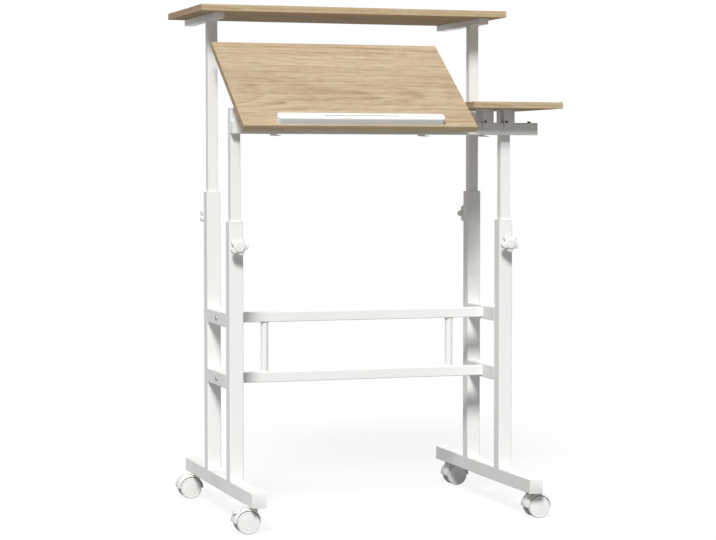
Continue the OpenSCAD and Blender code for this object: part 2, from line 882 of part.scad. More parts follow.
module hinge_leaf(x) {
    inner = clip_w / 2 + ear_gap;
    color(steel_white)
        on_board()
            difference() {
                union() {
                    translate([x - leaf_w / 2, -leaf_l / 2, hinge_under - sheet_t])
                        cube([leaf_w, leaf_l, sheet_t]);
                    for (s = [LEFT, RIGHT])
                        translate([x + s * (inner + sheet_t / 2), 0, 0])
                            rotate([90, 0, 90])
                                translate([0, 0, -sheet_t / 2])
                                    linear_extrude(sheet_t)
                                        difference() {
                                            ear_outline(leaf_ear_foot * ear_r, hinge_under - sheet_t / 2);
                                            circle(d = hinge_pin_d + 2 * hinge_gap);
                                        }
                }
                leaf_screw_places()
                    translate([0, 0, hinge_under - sheet_t - over])
                        screw_hole(sheet_t + 2 * over);
            }
}

module hinge_leaf_left() hinge_leaf(board_clip_xs[0]);
module hinge_leaf_right() hinge_leaf(board_clip_xs[1]);

module board_screws() {
    color(zinc)
        on_board() {
            leaf_screw_places()
                translate([0, 0, hinge_under - sheet_t])
                    wood_screw(sheet_t, wood_bite);
            ledge_screw_places()
                translate([0, 0, hinge_under])
                    wood_screw(board_t, ledge_bite);
        }
}

// Side board

module side_screw_places() {
    for (x = side_clip_xs, sx = [-1, 1])
        translate([x + sx * side_screw_x, beam_mid, 0])
            children();
}

module side_board() {
    color(oak)
        placed()
            difference() {
                translate([side_left, side_front, clip_top])
                    cube([side_w, side_d, board_t]);
                side_screw_places()
                    translate([0, 0, clip_top - over])
                        screw_hole(wood_bite + 1.5 * over);
            }
}

module side_clip(x, lip) {
    color(steel_white)
        placed()
            difference() {
                clip_body(x, lip);
                side_screw_places()
                    translate([0, 0, web_under - over])
                        screw_hole(sheet_t + 2 * over);
            }
}

module side_clip_left() side_clip(side_clip_left_x, true);
module side_clip_right() side_clip(side_clip_right_x, false);

module side_clip_screws() {
    color(black_steel)
        placed()
            for (x = side_clip_xs)
                clip_screw(x);
}

module side_board_screws() {
    color(zinc)
        placed()
            side_screw_places()
                translate([0, 0, web_under])
                    wood_screw(sheet_t, wood_bite);
}

// Top shelf and its brackets

// A flat tube under the shelf, closed at both ends, with holes for its screws
module shelf_bracket(s) {
    color(steel_white)
        placed()
            translate([s * post_x, bracket_front, shelf_under - bracket_h / 2])
                difference() {
                    rotate([-90, 0, 0])
                        difference() {
                            linear_extrude(bracket_l)
                                round_rect(bracket_w, bracket_h, thin_r);
                            translate([0, 0, thin_wall])
                                linear_extrude(bracket_l - 2 * thin_wall)
                                    round_rect(bracket_w - 2 * thin_wall, bracket_h - 2 * thin_wall,
                                        max(thin_r - thin_wall, 0.4));
                        }
                    for (y = bracket_screws) {
                        translate([0, y, 0])
                            screw_hole(bracket_h);
                        translate([0, y, -bracket_h])
                            cylinder(d = bracket_door_d, h = bracket_h);
                    }
                }
}

module shelf_bracket_left() shelf_bracket(LEFT);
module shelf_bracket_right() shelf_bracket(RIGHT);

module shelf_screw_places() {
    for (s = [LEFT, RIGHT], y = bracket_screws)
        translate([s * post_x, bracket_front + y, 0])
            children();
}

module top_shelf() {
    color(oak)
        placed()
            difference() {
                translate([-shelf_w / 2, shelf_front, shelf_under])
                    cube([shelf_w, shelf_d, board_t]);
                shelf_screw_places()
                    translate([0, 0, shelf_under - over])
                        screw_hole(wood_bite + 1.5 * over);
            }
}

module shelf_screws() {
    color(zinc)
        placed()
            shelf_screw_places()
                translate([0, 0, shelf_under - thin_wall])
                    wood_screw(thin_wall, wood_bite);
}

// Casters: each is drawn round its axle, with the swivel axis ahead of it along +X

module on_caster(s, e) {
    placed()
        translate([s * post_x, e * caster_y, axle_z])
            rotate([0, 0, s == RIGHT ? 180 : 0])
                translate([-trail, 0, 0])
                    children();
}

caster_w = wheel_part + 2 * wheel_w;
hood_inner_r = wheel_d / 2 + hood_gap;
boss_low = hood_r - stem_in - boss_floor;

module caster_hood(s, e, braked) {
    slot_w = lever_w + 2 * lever_gap;
    slot_low = lever_rise - lever_t / 2 - lever_room;
    color(plastic_white)
        on_caster(s, e)
            difference() {
                union() {
                    intersection() {
                        difference() {
                            translate([0, -caster_w / 2, 0])
                                rod_y(2 * hood_r, caster_w);
                            translate([0, -caster_w / 2 - over, 0])
                                rod_y(2 * hood_inner_r, caster_w + 2 * over);
                        }
                        translate([-hood_r - over, -caster_w, 0])
                            cube([2 * (hood_r + over), 2 * caster_w, hood_r + over]);
                    }
                    intersection() {
                        translate([0, -web_t / 2, 0])
                            rod_y(2 * hood_inner_r + over, web_t);
                        translate([-hood_r, -web_t, 0])
                            cube([2 * hood_r, 2 * web_t, hood_r]);
                    }
                    translate([0, -web_t / 2, 0])
                        rod_y(hub_d, web_t);
                    translate([trail, 0, boss_low])
                        cylinder(d = boss_d, h = hood_r - boss_low);
                }
                translate([0, -web_t, 0])
                    rod_y(axle_d + 2 * axle_gap, 2 * web_t);
                translate([trail, 0, hood_r - stem_in - over])
                    cylinder(d = stem_d + 2 * stem_gap, h = stem_in + 2 * over);
                if (braked) {
                    translate([-hood_r - over, -slot_w / 2, slot_low])
                        cube([hood_r - lever_pivot_back - lever_pin_d / 2, slot_w, hood_r - slot_low]);
                    translate([-lever_pivot_back, -web_t, lever_pivot_rise])
                        rod_y(lever_pin_d + 2 * axle_gap, 2 * web_t);
                }
            }
}

module caster_hood_front_left() caster_hood(LEFT, FRONT, true);
module caster_hood_front_right() caster_hood(RIGHT, FRONT, true);
module caster_hood_rear_left() caster_hood(LEFT, REAR, false);
module caster_hood_rear_right() caster_hood(RIGHT, REAR, false);

module caster_wheels(s, e) {
    color(plastic_white)
        on_caster(s, e) {
            translate([0, -caster_w / 2, 0])
                rod_y(axle_d, caster_w);
            for (side = [-1, 1])
                translate([0, side * (wheel_part + wheel_w) / 2 - wheel_w / 2, 0])
                    rotate([-90, 0, 0])
                        rotate_extrude()
                            polygon([[0, 0], [wheel_d / 2 - wheel_edge, 0], [wheel_d / 2, wheel_edge],
                                [wheel_d / 2, wheel_w - wheel_edge], [wheel_d / 2 - wheel_edge, wheel_w], [0, wheel_w]]);
        }
}

module caster_wheels_front_left() caster_wheels(LEFT, FRONT);
module caster_wheels_front_right() caster_wheels(RIGHT, FRONT);
module caster_wheels_rear_left() caster_wheels(LEFT, REAR);
module caster_wheels_rear_right() caster_wheels(RIGHT, REAR);

module caster_stems() {
    color(black_steel)
        placed()
            for (s = [LEFT, RIGHT], e = [FRONT, REAR])
                translate([s * post_x, e * caster_y, foot_bottom]) {
                    cylinder(d = thread_d, h = thread_l);
                    translate([0, 0, -collar_t])
                        cylinder(d = collar_d, h = collar_t);
                    translate([0, 0, -stem_show - stem_in])
                        cylinder(d = stem_d, h = stem_show + stem_in);
                }
}

module brake_lever(s) {
    cheek_t = lever_w / 2 - web_t / 2 - lever_gap;
    cheek_l = lever_pivot_back + cheek_over;
    color(plastic_white)
        on_caster(s, FRONT) {
            translate([-lever_reach, -lever_w / 2, lever_rise - lever_t / 2])
                cube([lever_reach - cheek_l + over, lever_w, lever_t]);
            for (side = [-1, 1])
                translate([0, side * (lever_w - cheek_t) / 2 - cheek_t / 2, 0]) {
                    translate([-cheek_l - over, 0, lever_rise - lever_t / 2])
                        cube([cheek_l + over - lever_pivot_back, cheek_t, lever_t]);
                    translate([-lever_pivot_back, 0, lever_pivot_rise])
                        rod_y(2 * (lever_rise + lever_t / 2 - lever_pivot_rise), cheek_t);
                }
            translate([-lever_pivot_back, -lever_w / 2 + cheek_t / 2, lever_pivot_rise])
                rod_y(lever_pin_d, lever_w - cheek_t);
        }
}

module brake_lever_left() brake_lever(LEFT);
module brake_lever_right() brake_lever(RIGHT);

foot_bar_left();
foot_bar_right();
foot_bar_caps();
post_front_left();
post_front_right();
post_rear_left();
post_rear_right();
bridge_upper_left();
bridge_upper_right();
bridge_lower_left();
bridge_lower_right();
crossbar_upper();
crossbar_lower();
strut_left();
strut_right();
crossbar_bolts();
tube_guides();
caster_stems();
riser_front_left();
riser_front_right();
tube_caps();
front_beam();
board_clip_left();
board_clip_right();
beam_screws();
hinge_pins();
main_board();
board_ledge();
hinge_leaf_left();
hinge_leaf_right();
board_screws();
side_board();
side_clip_left();
side_clip_right();
side_clip_screws();
side_board_screws();
riser_rear_left();
riser_rear_right();
shelf_bracket_left();
shelf_bracket_right();
top_shelf();
shelf_screws();
clamp_screw_front_left();
clamp_screw_front_right();
clamp_screw_rear_left();
clamp_screw_rear_right();
knob_front_left();
knob_front_right();
knob_rear_left();
knob_rear_right();
caster_hood_front_left();
caster_hood_front_right();
caster_hood_rear_left();
caster_hood_rear_right();
caster_wheels_front_left();
caster_wheels_front_right();
caster_wheels_rear_left();
caster_wheels_rear_right();
brake_lever_left();
brake_lever_right();
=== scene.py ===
# %% [markdown]
# # A mobile standing desk
# The desk stands on a white steel frame with four twin-wheel casters. Two pairs of square
# tubes slide in the posts: the front pair carries a beam with a tilting board and a small
# side board, the rear pair carries a shelf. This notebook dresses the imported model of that
# desk: it keeps its sizes and joints, and gives each piece its rounded edges, small parts
# and finish. Everything is in metres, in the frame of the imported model.

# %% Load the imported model
from math import cos, hypot, pi, radians, sin, sqrt

import bmesh
import bpy
from mathutils import Matrix, Vector


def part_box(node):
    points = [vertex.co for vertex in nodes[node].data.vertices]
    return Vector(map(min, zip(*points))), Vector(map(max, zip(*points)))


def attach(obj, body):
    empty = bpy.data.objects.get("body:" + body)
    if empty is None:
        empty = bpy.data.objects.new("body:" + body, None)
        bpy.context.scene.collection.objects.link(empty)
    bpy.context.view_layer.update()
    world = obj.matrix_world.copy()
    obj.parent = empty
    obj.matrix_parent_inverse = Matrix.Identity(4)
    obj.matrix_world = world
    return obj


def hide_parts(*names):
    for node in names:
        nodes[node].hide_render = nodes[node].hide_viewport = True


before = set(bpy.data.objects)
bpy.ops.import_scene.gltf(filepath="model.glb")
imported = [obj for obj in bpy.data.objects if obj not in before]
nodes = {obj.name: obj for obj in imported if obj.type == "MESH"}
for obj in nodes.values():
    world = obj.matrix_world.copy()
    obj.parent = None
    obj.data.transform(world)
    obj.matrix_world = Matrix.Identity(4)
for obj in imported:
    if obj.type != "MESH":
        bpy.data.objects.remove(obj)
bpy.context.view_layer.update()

# %% [markdown]
# ## The camera
# A long lens far away shows furniture with almost parallel edges, so that its proportions
# can be trusted. The camera stands a little left of the desk and just above its middle,
# and looks down by three degrees. Its focal length is given in pixels of the picture,
# which a sensor of 36 millimetres turns into the lens that Blender asks for.

# %% Set the camera as in the photograph
picture_w = 716
sensor_w = 36.0
focal_px = 2093.3
camera_place = (-1.6804, -4.9910, 0.8585)
camera_turn, camera_dip = radians(18.322), radians(2.853)

camera_data = bpy.data.cameras.new("camera")
camera_data.sensor_width = sensor_w
camera_data.lens = focal_px * sensor_w / picture_w
camera_data.clip_end = 60.0
camera = bpy.data.objects.new("camera", camera_data)
camera.location = camera_place
camera.rotation_euler = (radians(90) - camera_dip, 0, -camera_turn)
bpy.context.scene.collection.objects.link(camera)
bpy.context.scene.camera = camera
print("lens", round(camera_data.lens, 1), "mm")

# %% [markdown]
# ## Building materials from nodes
# A material is a small network: textures make masks and heights, and a Principled shader
# turns them into a surface. Writing the same calls for each node would bury the idea, so
# a few helpers add a node, feed a socket with a number or another socket, and do
# arithmetic. A socket knows its own tree, so most helpers needn't be told.

# %% Helpers for node trees
def feed(socket, term):
    """Gives a socket a number, a colour or another socket."""
    if isinstance(term, bpy.types.NodeSocket):
        socket.id_data.links.new(term, socket)
    else:
        socket.default_value = term


def step(tree, kind, settings=None, **sockets):
    """Adds a node, sets it, feeds its sockets by name, and returns its outputs."""
    node = tree.nodes.new(kind)
    for key, value in (settings or {}).items():
        setattr(node, key, value)
    for label, term in sockets.items():
        feed(node.inputs[label.replace("_", " ")], term)
    return node.outputs


def reckon(operation, *terms):
    """One step of arithmetic on numbers and sockets."""
    tree = next(term.id_data for term in terms if isinstance(term, bpy.types.NodeSocket))
    node = tree.nodes.new("ShaderNodeMath")
    node.operation = operation
    for socket, term in zip(node.inputs, terms):
        feed(socket, term)
    return node.outputs[0]


def ramp(value, low, high):
    """0 below low, 1 above high, and a smooth rise between them."""
    return step(value.id_data, "ShaderNodeMapRange", {"interpolation_type": "SMOOTHSTEP"},
                Value=value, From_Min=low, From_Max=high)["Result"]


def blend_colours(share, first, second):
    """A mix of two colours."""
    node = share.id_data.nodes.new("ShaderNodeMix")
    node.data_type = "RGBA"
    for place, term in ((0, share), (6, first), (7, second)):
        feed(node.inputs[place], term)
    return node.outputs[2]


def cloud(place, detail, scale=1.0):
    """Soft random values from 0 to 1 over a place."""
    return step(place.id_data, "ShaderNodeTexNoise",
                Vector=place, Scale=scale, Detail=detail)["Fac"]


def new_group(tree_kind, name, inputs, outputs):
    """A node group with named inputs and outputs, each of a kind of socket."""
    tree = bpy.data.node_groups.new(name, tree_kind)
    for in_out, sockets in (("INPUT", inputs), ("OUTPUT", outputs)):
        for label, kind in sockets.items():
            tree.interface.new_socket(name=label, in_out=in_out, socket_type="NodeSocket" + kind)
    return tree, step(tree, "NodeGroupInput"), tree.nodes.new("NodeGroupOutput").inputs


surface = {"Colour": "Color", "Roughness": "Float", "Height": "Float"}

# %% [markdown]
# ### The skin of paint and plastic
# Powder coat is paint that melted in an oven. It is smooth to the touch, but its surface
# rolls a little, like orange peel, at about a millimetre. Moulded plastic has a finer
# texture. Both are dulled unevenly by hands and dust. One effect serves both, with its own
# grain size in each material.

# %% The effect "fine skin"
smudges_per_metre, specks_per_metre = 7.0, 160.0
roughness_of_smudges, roughness_of_specks = 0.1, 0.06
skin, skin_in, skin_out = new_group("ShaderNodeTree", "fine skin", {
    "Place": "Vector", "Grain": "Float", "Colour": "Color", "Dulled colour": "Color",
    "Base roughness": "Float"}, surface)
peel = cloud(skin_in["Place"], 2.0, reckon("DIVIDE", 1.0, skin_in["Grain"]))
dulled = ramp(cloud(skin_in["Place"], 3.0, smudges_per_metre), 0.42, 0.72)
speckled = ramp(cloud(skin_in["Place"], 1.0, specks_per_metre), 0.5, 0.75)
roughness = reckon("MULTIPLY_ADD", dulled, roughness_of_smudges, skin_in["Base roughness"])
feed(skin_out["Colour"], blend_colours(dulled, skin_in["Colour"], skin_in["Dulled colour"]))
feed(skin_out["Roughness"], reckon("MULTIPLY_ADD", speckled, roughness_of_specks, roughness))
feed(skin_out["Height"], peel)
print("effect:", skin.name)

# %% [markdown]
# ### Oak grain
# The boards are chipboard with an oak decor. Oak shows growth rings, cut at a slant into
# long arches, with fine fibres and short dark pores along the board. A tree is a stack of
# cones, so the distance from a slanting heart line gives rings that arch by themselves.
# Noise stretched along the board gives the fibres and pores.

# %% The effect "oak grain"
oak, oak_in, oak_out = new_group("ShaderNodeTree", "oak grain", {
    "Along": "Float", "Across": "Float", "Heart depth": "Float", "Slant": "Float",
    "Rings per metre": "Float", "Pale": "Color", "Middle": "Color", "Dark": "Color",
    "Seed": "Float"}, surface)
along, across = oak_in["Along"], oak_in["Across"]


def oak_cloud(along_scale, across_scale, shift, detail):
    """Noise that is stretched along the board."""
    return cloud(step(oak, "ShaderNodeCombineXYZ", X=reckon("MULTIPLY", along, along_scale),
                      Y=reckon("MULTIPLY", across, across_scale),
                      Z=reckon("ADD", oak_in["Seed"], shift))[0], detail)


def swing(noise, width):
    """Noise round zero, width wide."""
    return reckon("MULTIPLY", reckon("SUBTRACT", noise, 0.5), width)


# %% [markdown]
# The noises come first: how often each changes along the board and across it, per metre,
# its own shift in the noise's third direction, and its number of octaves. The heart line
# sways and drifts, so the arches aren't regular, and each ring wobbles a little.

# %% Noises and rings
noises = {
    "sway": (1.9, 3.0, 0.0, 2.0), "drift": (1.1, 4.0, 3.0, 2.0), "wobble": (5.0, 60.0, 6.0, 3.0),
    "fibre": (9.0, 520.0, 9.0, 3.0), "streak": (2.2, 95.0, 12.0, 4.0),
    "broad": (0.9, 8.0, 15.0, 2.0), "pore": (45.0, 1100.0, 18.0, 1.0),
    "ray": (55.0, 160.0, 21.0, 1.0), "mottle": (24.0, 90.0, 24.0, 3.0),
    "patch": (1.7, 9.0, 27.0, 2.0),
}
noise = {label: oak_cloud(*settings) for label, settings in noises.items()}
off_heart = reckon("ADD", across, swing(noise["sway"], 0.07))
depth = reckon("ADD", swing(noise["drift"], 0.12), reckon(
    "MULTIPLY_ADD", along, oak_in["Slant"], oak_in["Heart depth"]))
ring_radius = reckon("SQRT", reckon("ADD", reckon("MULTIPLY", off_heart, off_heart),
                                    reckon("MULTIPLY", depth, depth)))
phase = reckon("FRACT", reckon("MULTIPLY_ADD", ring_radius, oak_in["Rings per metre"],
                               swing(noise["wobble"], 0.9)))
late_wood = reckon("MULTIPLY", ramp(phase, 0.15, 0.85),
                   reckon("SUBTRACT", 1.0, ramp(phase, 0.88, 1.0)))
pore, patch = ramp(noise["pore"], 0.58, 0.7), ramp(noise["patch"], 0.4, 0.62)
print("noises:", len(noises))

# %% [markdown]
# The shade between the pale and the middle tone is a sum: the late wood of the rings,
# stronger in patches, then streaks, fibres, mottling and broad bands, less the bright
# rays. Pores and the darkest late wood take the third tone. Pores are also a little
# rougher and lie deeper.

# %% Tones and relief
shade = reckon("MULTIPLY", late_wood, reckon("MULTIPLY_ADD", patch, 0.16, 0.07))
for label, low, high, weight in (("streak", 0.34, 0.66, 0.40), ("fibre", 0.36, 0.64, 0.22),
                                 ("mottle", 0.32, 0.68, 0.30), ("broad", 0.3, 0.7, 0.26),
                                 ("ray", 0.62, 0.74, -0.16)):
    shade = reckon("MULTIPLY_ADD", ramp(noise[label], low, high), weight, shade)
wood = blend_colours(shade, oak_in["Pale"], oak_in["Middle"])
dark_rings = reckon("MULTIPLY", reckon("POWER", late_wood, 2.5), reckon(
    "MULTIPLY", ramp(noise["streak"], 0.42, 0.62), reckon("MULTIPLY_ADD", patch, 0.26, 0.08)))
darkness = reckon("MULTIPLY_ADD", pore, 0.34, dark_rings)
feed(oak_out["Colour"], blend_colours(darkness, wood, oak_in["Dark"]))
feed(oak_out["Roughness"], reckon(
    "MULTIPLY_ADD", noise["fibre"], 0.14, reckon("MULTIPLY_ADD", pore, 0.12, 0.42)))
feed(oak_out["Height"], reckon("SUBTRACT", reckon("MULTIPLY", noise["fibre"], 0.5), pore))
print("effect:", oak.name)

# %% [markdown]
# ## The finishes
# White is hard to paint: a white of 1.0 has no room left for light, so real white paint is
# set at about 0.85. The tubes and pressed parts are powder coated, the caps, knobs, wheels
# and hoods are moulded plastic, and the small metal parts are zinc plated or blackened.


def finish(name):
    """A material of a slot, with its tree and its Principled shader's inputs."""
    material = bpy.data.materials.new(name)
    material.use_nodes = True
    tree = material.node_tree
    return material, tree, tree.nodes["Principled BSDF"].inputs


def wear(tree, shader, effect, relief, **settings):
    """Puts the colour, roughness and relief of an effect on a shader."""
    worn = step(tree, "ShaderNodeGroup", {"node_tree": effect}, **settings)
    feed(shader["Base Color"], worn["Colour"])
    feed(shader["Roughness"], worn["Roughness"])
    feed(shader["Normal"], step(tree, "ShaderNodeBump", Strength=1.0, Distance=relief,
                                Height=worn["Height"])["Normal"])


paint_sheen = 0.22


def skinned(name, colour, dulled_colour, grain, roughness, relief, metallic=0.0):
    """A painted, moulded or plated finish with the fine skin."""
    material, tree, shader = finish(name)
    wear(tree, shader, skin, relief, Place=step(tree, "ShaderNodeTexCoord")["Object"],
         Grain=grain, Base_roughness=roughness, Colour=(*colour, 1.0),
         Dulled_colour=(*dulled_colour, 1.0))
    feed(shader["Metallic"], metallic)
    if metallic == 0.0:
        feed(shader["Specular IOR Level"], paint_sheen)
    return material


painted_white, dulled_white = (0.86, 0.86, 0.845), (0.835, 0.832, 0.815)
powder_coat = skinned("white powder coat", painted_white, dulled_white,
                      0.0011, 0.42, 0.00004)
white_plastic = skinned("white moulded plastic", painted_white,
                        dulled_white, 0.0005, 0.38, 0.00002)
tread_plastic = skinned("pale tread plastic", (0.76, 0.76, 0.745),
                        (0.70, 0.70, 0.68), 0.0007, 0.5, 0.00003)
zinc = skinned("zinc plating", (0.66, 0.67, 0.68), (0.52, 0.53, 0.54),
               0.0009, 0.26, 0.00002, metallic=1.0)
dull_zinc = skinned("dull zinc plating", (0.36, 0.365, 0.37),
                    (0.27, 0.275, 0.28), 0.0009, 0.44, 0.00003, metallic=1.0)
black_oxide = skinned("blackened steel", (0.030, 0.030, 0.032),
                      (0.052, 0.050, 0.048), 0.0006, 0.32, 0.00002, metallic=0.6)

# %% [markdown]
# ### Oak decor on faces and edges
# A board's faces and its edge band are two different strips of decor. The face shows
# arches, the band only straight lines. The band of the two ends has darker tones, which
# are painted shade on the boards' ends. The end band and the cheaper back sheet
# underneath are quite matt, so that a white room doesn't shine in them. Each board
# carries its own UV map in metres, with U along the grain, so the pattern lies the same
# way on a level board and on a sloping one, and follows the board when it tilts.

# %% Oak for a face and for an edge band
oak_relief = 0.00006


def oak_finish(name, heart, tones, seed_value, centre, sheen):
    """Oak decor on the board's map of metres. The heart is a depth, a slant and the rings
    per metre, and it lies at centre from the front edge."""
    material, tree, shader = finish(name)
    uv = step(tree, "ShaderNodeUVMap", {"uv_map": "grain"})["UV"]
    split = step(tree, "ShaderNodeSeparateXYZ", Vector=uv)
    depth, slant, rings = heart
    pale, middle, dark = ((*tone, 1.0) for tone in tones)
    wear(tree, shader, oak, oak_relief, Along=split["X"],
         Across=reckon("SUBTRACT", split["Y"], centre), Heart_depth=depth, Slant=slant,
         Rings_per_metre=rings, Pale=pale, Middle=middle, Dark=dark, Seed=seed_value)
    feed(shader["Specular IOR Level"], sheen)
    return material


face_tones = ((0.64, 0.52, 0.36), (0.42, 0.315, 0.195), (0.22, 0.15, 0.088))
band_tones = ((0.65, 0.54, 0.355), (0.47, 0.36, 0.22), (0.26, 0.18, 0.105))
# The end band's tones are darker than the long band's: painted shade on the boards' ends.
painted_shade_end_tones = ((0.62, 0.47, 0.325), (0.45, 0.33, 0.215), (0.26, 0.18, 0.11))
back_tones = ((0.66, 0.52, 0.375), (0.47, 0.355, 0.24), (0.27, 0.19, 0.12))
shiny, matt = 0.1, 0.0
oak_faces = {
    "main": oak_finish("oak face, tilting board", (0.05, 0.11, 62.0), face_tones, 2.0, 0.13, shiny),
    "side": oak_finish("oak face, side board", (0.09, 0.12, 60.0), face_tones, 5.0, 0.17, shiny),
    "shelf": oak_finish("oak face, shelf", (0.07, 0.10, 60.0), face_tones, 9.0, 0.21, shiny),
}
oak_band = oak_finish("oak edge band", (0.30, 0.02, 150.0), band_tones, 13.0, 0.0, shiny)
# The band of the two ends, whose darker tones are painted shade.
oak_end_band_painted_shade = oak_finish("oak end band with painted shade", (0.22, 0.03, 190.0), painted_shade_end_tones, 17.0, 0.0, matt)
oak_back = oak_finish("oak back sheet", (0.12, 0.08, 70.0), back_tones, 21.0, 0.2, matt)
print("oak:", len(oak_faces), "faces, two bands and a back sheet")

# %% [markdown]
# ## Shapes from outlines
# Most pieces here are stacks of outlines with the same number of points: a small inset and
# a small step make a rounded edge. A loft joins such outlines with faces. A round, six-
# sided or star-shaped outline is a radius that changes with the angle.

# %% Helpers that make meshes
def mesh_piece(name, mesh, *materials):
    """A new object for a mesh, linked to the scene."""
    piece = bpy.data.objects.new(name, mesh)
    bpy.context.scene.collection.objects.link(piece)
    for material in materials:
        mesh.materials.append(material)
    return piece


def done(bm, name, smooth_below=40):
    """Makes a finished mesh with faces outwards, smooth except at sharp edges."""
    bmesh.ops.recalc_face_normals(bm, faces=bm.faces)
    mesh = bpy.data.meshes.new(name)
    bm.to_mesh(mesh)
    bm.free()
    mesh.shade_smooth()
    mesh.set_sharp_from_angle(angle=radians(smooth_below))
    return mesh


def lofted(name, rings, smooth_below=40):
    """Joins outlines of equal length, and closes the first and the last."""
    bm = bmesh.new()
    rows = [[bm.verts.new(point) for point in ring] for ring in rings]
    for low, high in zip(rows, rows[1:]):
        for i in range(len(low)):
            j = (i + 1) % len(low)
            bm.faces.new((low[i], low[j], high[j], high[i]))
    bm.faces.new(list(reversed(rows[0])))
    bm.faces.new(rows[-1])
    return done(bm, name, smooth_below)


def polar_ring(radius_at, size, z, steps):
    """An outline whose radius is size times a function of the angle."""
    angles = [2 * pi * i / steps for i in range(steps)]
    return [Vector((size * radius_at(a) * cos(a), size * radius_at(a) * sin(a), z))
            for a in angles]


def round_shape(angle):
    """A circle: the same radius at every angle."""
    return 1.0


def hexagon_shape(angle):
    """A hexagon whose flats are one radius from the middle."""
    turn = radians(60)
    return 1.0 / cos((angle % turn) - turn / 2)


def cross_shape(angle):
    """A cross recess with four arms, each as wide as a third of the whole."""
    turn, half_arm = radians(90), 0.34
    off = abs((angle + turn / 2) % turn - turn / 2)
    return min(1.0, half_arm / max(sin(off), 0.01))


def stands_for(piece, material, body, *replaced):
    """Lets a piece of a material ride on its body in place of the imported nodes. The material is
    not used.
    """
    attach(piece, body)
    if replaced:
        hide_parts(*replaced)


def dress(name, mesh, material, body, *replaced):
    """A new piece for a mesh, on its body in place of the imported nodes."""
    stands_for(mesh_piece(name, mesh, material), material, body, *replaced)


def middle_of(node):
    """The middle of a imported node's box."""
    low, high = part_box(node)
    return (low + high) / 2


def in_mm(lengths):
    """Lengths in millimetres, for printing."""
    return [round(length * 1000, 1) for length in lengths]


# %% [markdown]
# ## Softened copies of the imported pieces
# A pressed or moulded piece never has a perfectly sharp edge, and the small highlight on
# its rounded edge is what tells the eye its size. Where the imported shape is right, a copy
# gets its loose triangles joined, its flat areas merged and its sharp edges rounded with a
# Bevel modifier.

# %% Helpers for softened copies
same_point = 2e-6
flat_within, sharp_from = radians(0.8), radians(32)
pressed_arris, moulded_arris, fine_arris = 0.0006, 0.0007, 0.0005


def joined(node):
    """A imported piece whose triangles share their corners."""
    bm = bmesh.new()
    bm.from_mesh(nodes[node].data)
    bmesh.ops.remove_doubles(bm, verts=bm.verts, dist=same_point)
    return bm


def soften(arris, material, bodies):
    """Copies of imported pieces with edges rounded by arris, each on its body."""
    for node, body in bodies.items():
        bm = joined(node)
        bmesh.ops.dissolve_limit(bm, angle_limit=flat_within, verts=bm.verts, edges=bm.edges)
        mesh = bpy.data.meshes.new(node + "_soft")
        bm.to_mesh(mesh)
        bm.free()
        mesh.shade_smooth()
        piece = mesh_piece(node + "_soft", mesh, material)
        edge = piece.modifiers.new("rounded edges", "BEVEL")
        edge.width, edge.segments = arris, 2
        edge.limit_method, edge.angle_limit = "ANGLE", sharp_from
        edge.harden_normals = True
        stands_for(piece, material, body, node)
    print("softened:", ", ".join(bodies))


# %% [markdown]
# ## The tube frame
# The frame is square steel tube: foot bars, posts, bridges, crossbars and two round
# struts, all welded and then powder coated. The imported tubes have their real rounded
# corners and walls, so they stay and only get the finish.

# %% Coat the tubes
stand_tubes = [n for n in nodes if n.startswith((
    "foot_bar_left", "foot_bar_right", "post_", "bridge_", "crossbar_upper",
    "crossbar_lower", "strut_"))]
sliding_tubes = [n for n in nodes if n.startswith(("riser_", "front_beam"))]
for node in stand_tubes + sliding_tubes:
    tube_mesh = nodes[node].data
    tube_mesh.materials.clear()
    tube_mesh.materials.append(powder_coat)
print("coated", len(stand_tubes), "fixed tubes and", len(sliding_tubes), "sliding tubes")

# %% [markdown]
# ### Weld beads
# Where two tubes meet, a welder leaves a bead with a fine ripple, which the paint covers.
# A bead follows a path, which is a task for Geometry Nodes: the tree turns path edges into
# a curve, gives it points at the ripple's pitch, swells and shrinks its radius and sweeps
# a small circle along it. Only the paths are given to it.

# %% Helper that runs a tree
def grow(piece, tree, values):
    """Runs a tree on a piece and keeps the result as a plain mesh."""
    modifier = piece.modifiers.new(tree.name, "NODES")
    modifier.node_group = tree
    for item in tree.interface.items_tree:
        if item.in_out == "INPUT" and item.name in values:
            modifier[item.identifier] = values[item.name]
    bpy.context.view_layer.update()
    shown = piece.evaluated_get(bpy.context.evaluated_depsgraph_get())
    mesh = bpy.data.meshes.new_from_object(shown)
    piece.modifiers.clear()
    piece.data = mesh


# %% [markdown]
# The index of a point along the bead is even or odd in turn, which makes the ripple, and a
# small random share keeps it from looking machined.

# %% The tree "weld bead"
ripple_swell, thinnest = 0.12, 0.86
bead_tree, given, result = new_group("GeometryNodeTree", "weld bead", {
    "Geometry": "Geometry", "Bead radius": "Float", "Ripple pitch": "Float",
    "Finish": "Material"}, {"Geometry": "Geometry"})
curve = step(bead_tree, "GeometryNodeMeshToCurve", Mesh=given["Geometry"])
resampled = step(bead_tree, "GeometryNodeResampleCurve", {"mode": "LENGTH"},
                 Curve=curve[0], Length=reckon("DIVIDE", given["Ripple pitch"], 2.0))
point_index = step(bead_tree, "GeometryNodeInputIndex")[0]
uneven = step(bead_tree, "FunctionNodeRandomValue", {"data_type": "FLOAT"},
              Min=thinnest, Max=1.0, Seed=4)
ripple = reckon("MULTIPLY_ADD", reckon("MODULO", point_index, 2.0), ripple_swell, uneven[1])
round_section = step(bead_tree, "GeometryNodeCurvePrimitiveCircle",
                     Resolution=8, Radius=given["Bead radius"])
swept = step(bead_tree, "GeometryNodeCurveToMesh", Curve=resampled[0],
             Profile_Curve=round_section[0], Scale=ripple, Fill_Caps=True)
smooth = step(bead_tree, "GeometryNodeSetShadeSmooth", Geometry=swept[0])
real = step(bead_tree, "GeometryNodeRealizeInstances", Geometry=smooth[0])
painted = step(bead_tree, "GeometryNodeSetMaterial", Geometry=real[0], Material=given["Finish"])
feed(result["Geometry"], painted[0])
print("tree:", bead_tree.name, "with", len(bead_tree.nodes), "nodes")

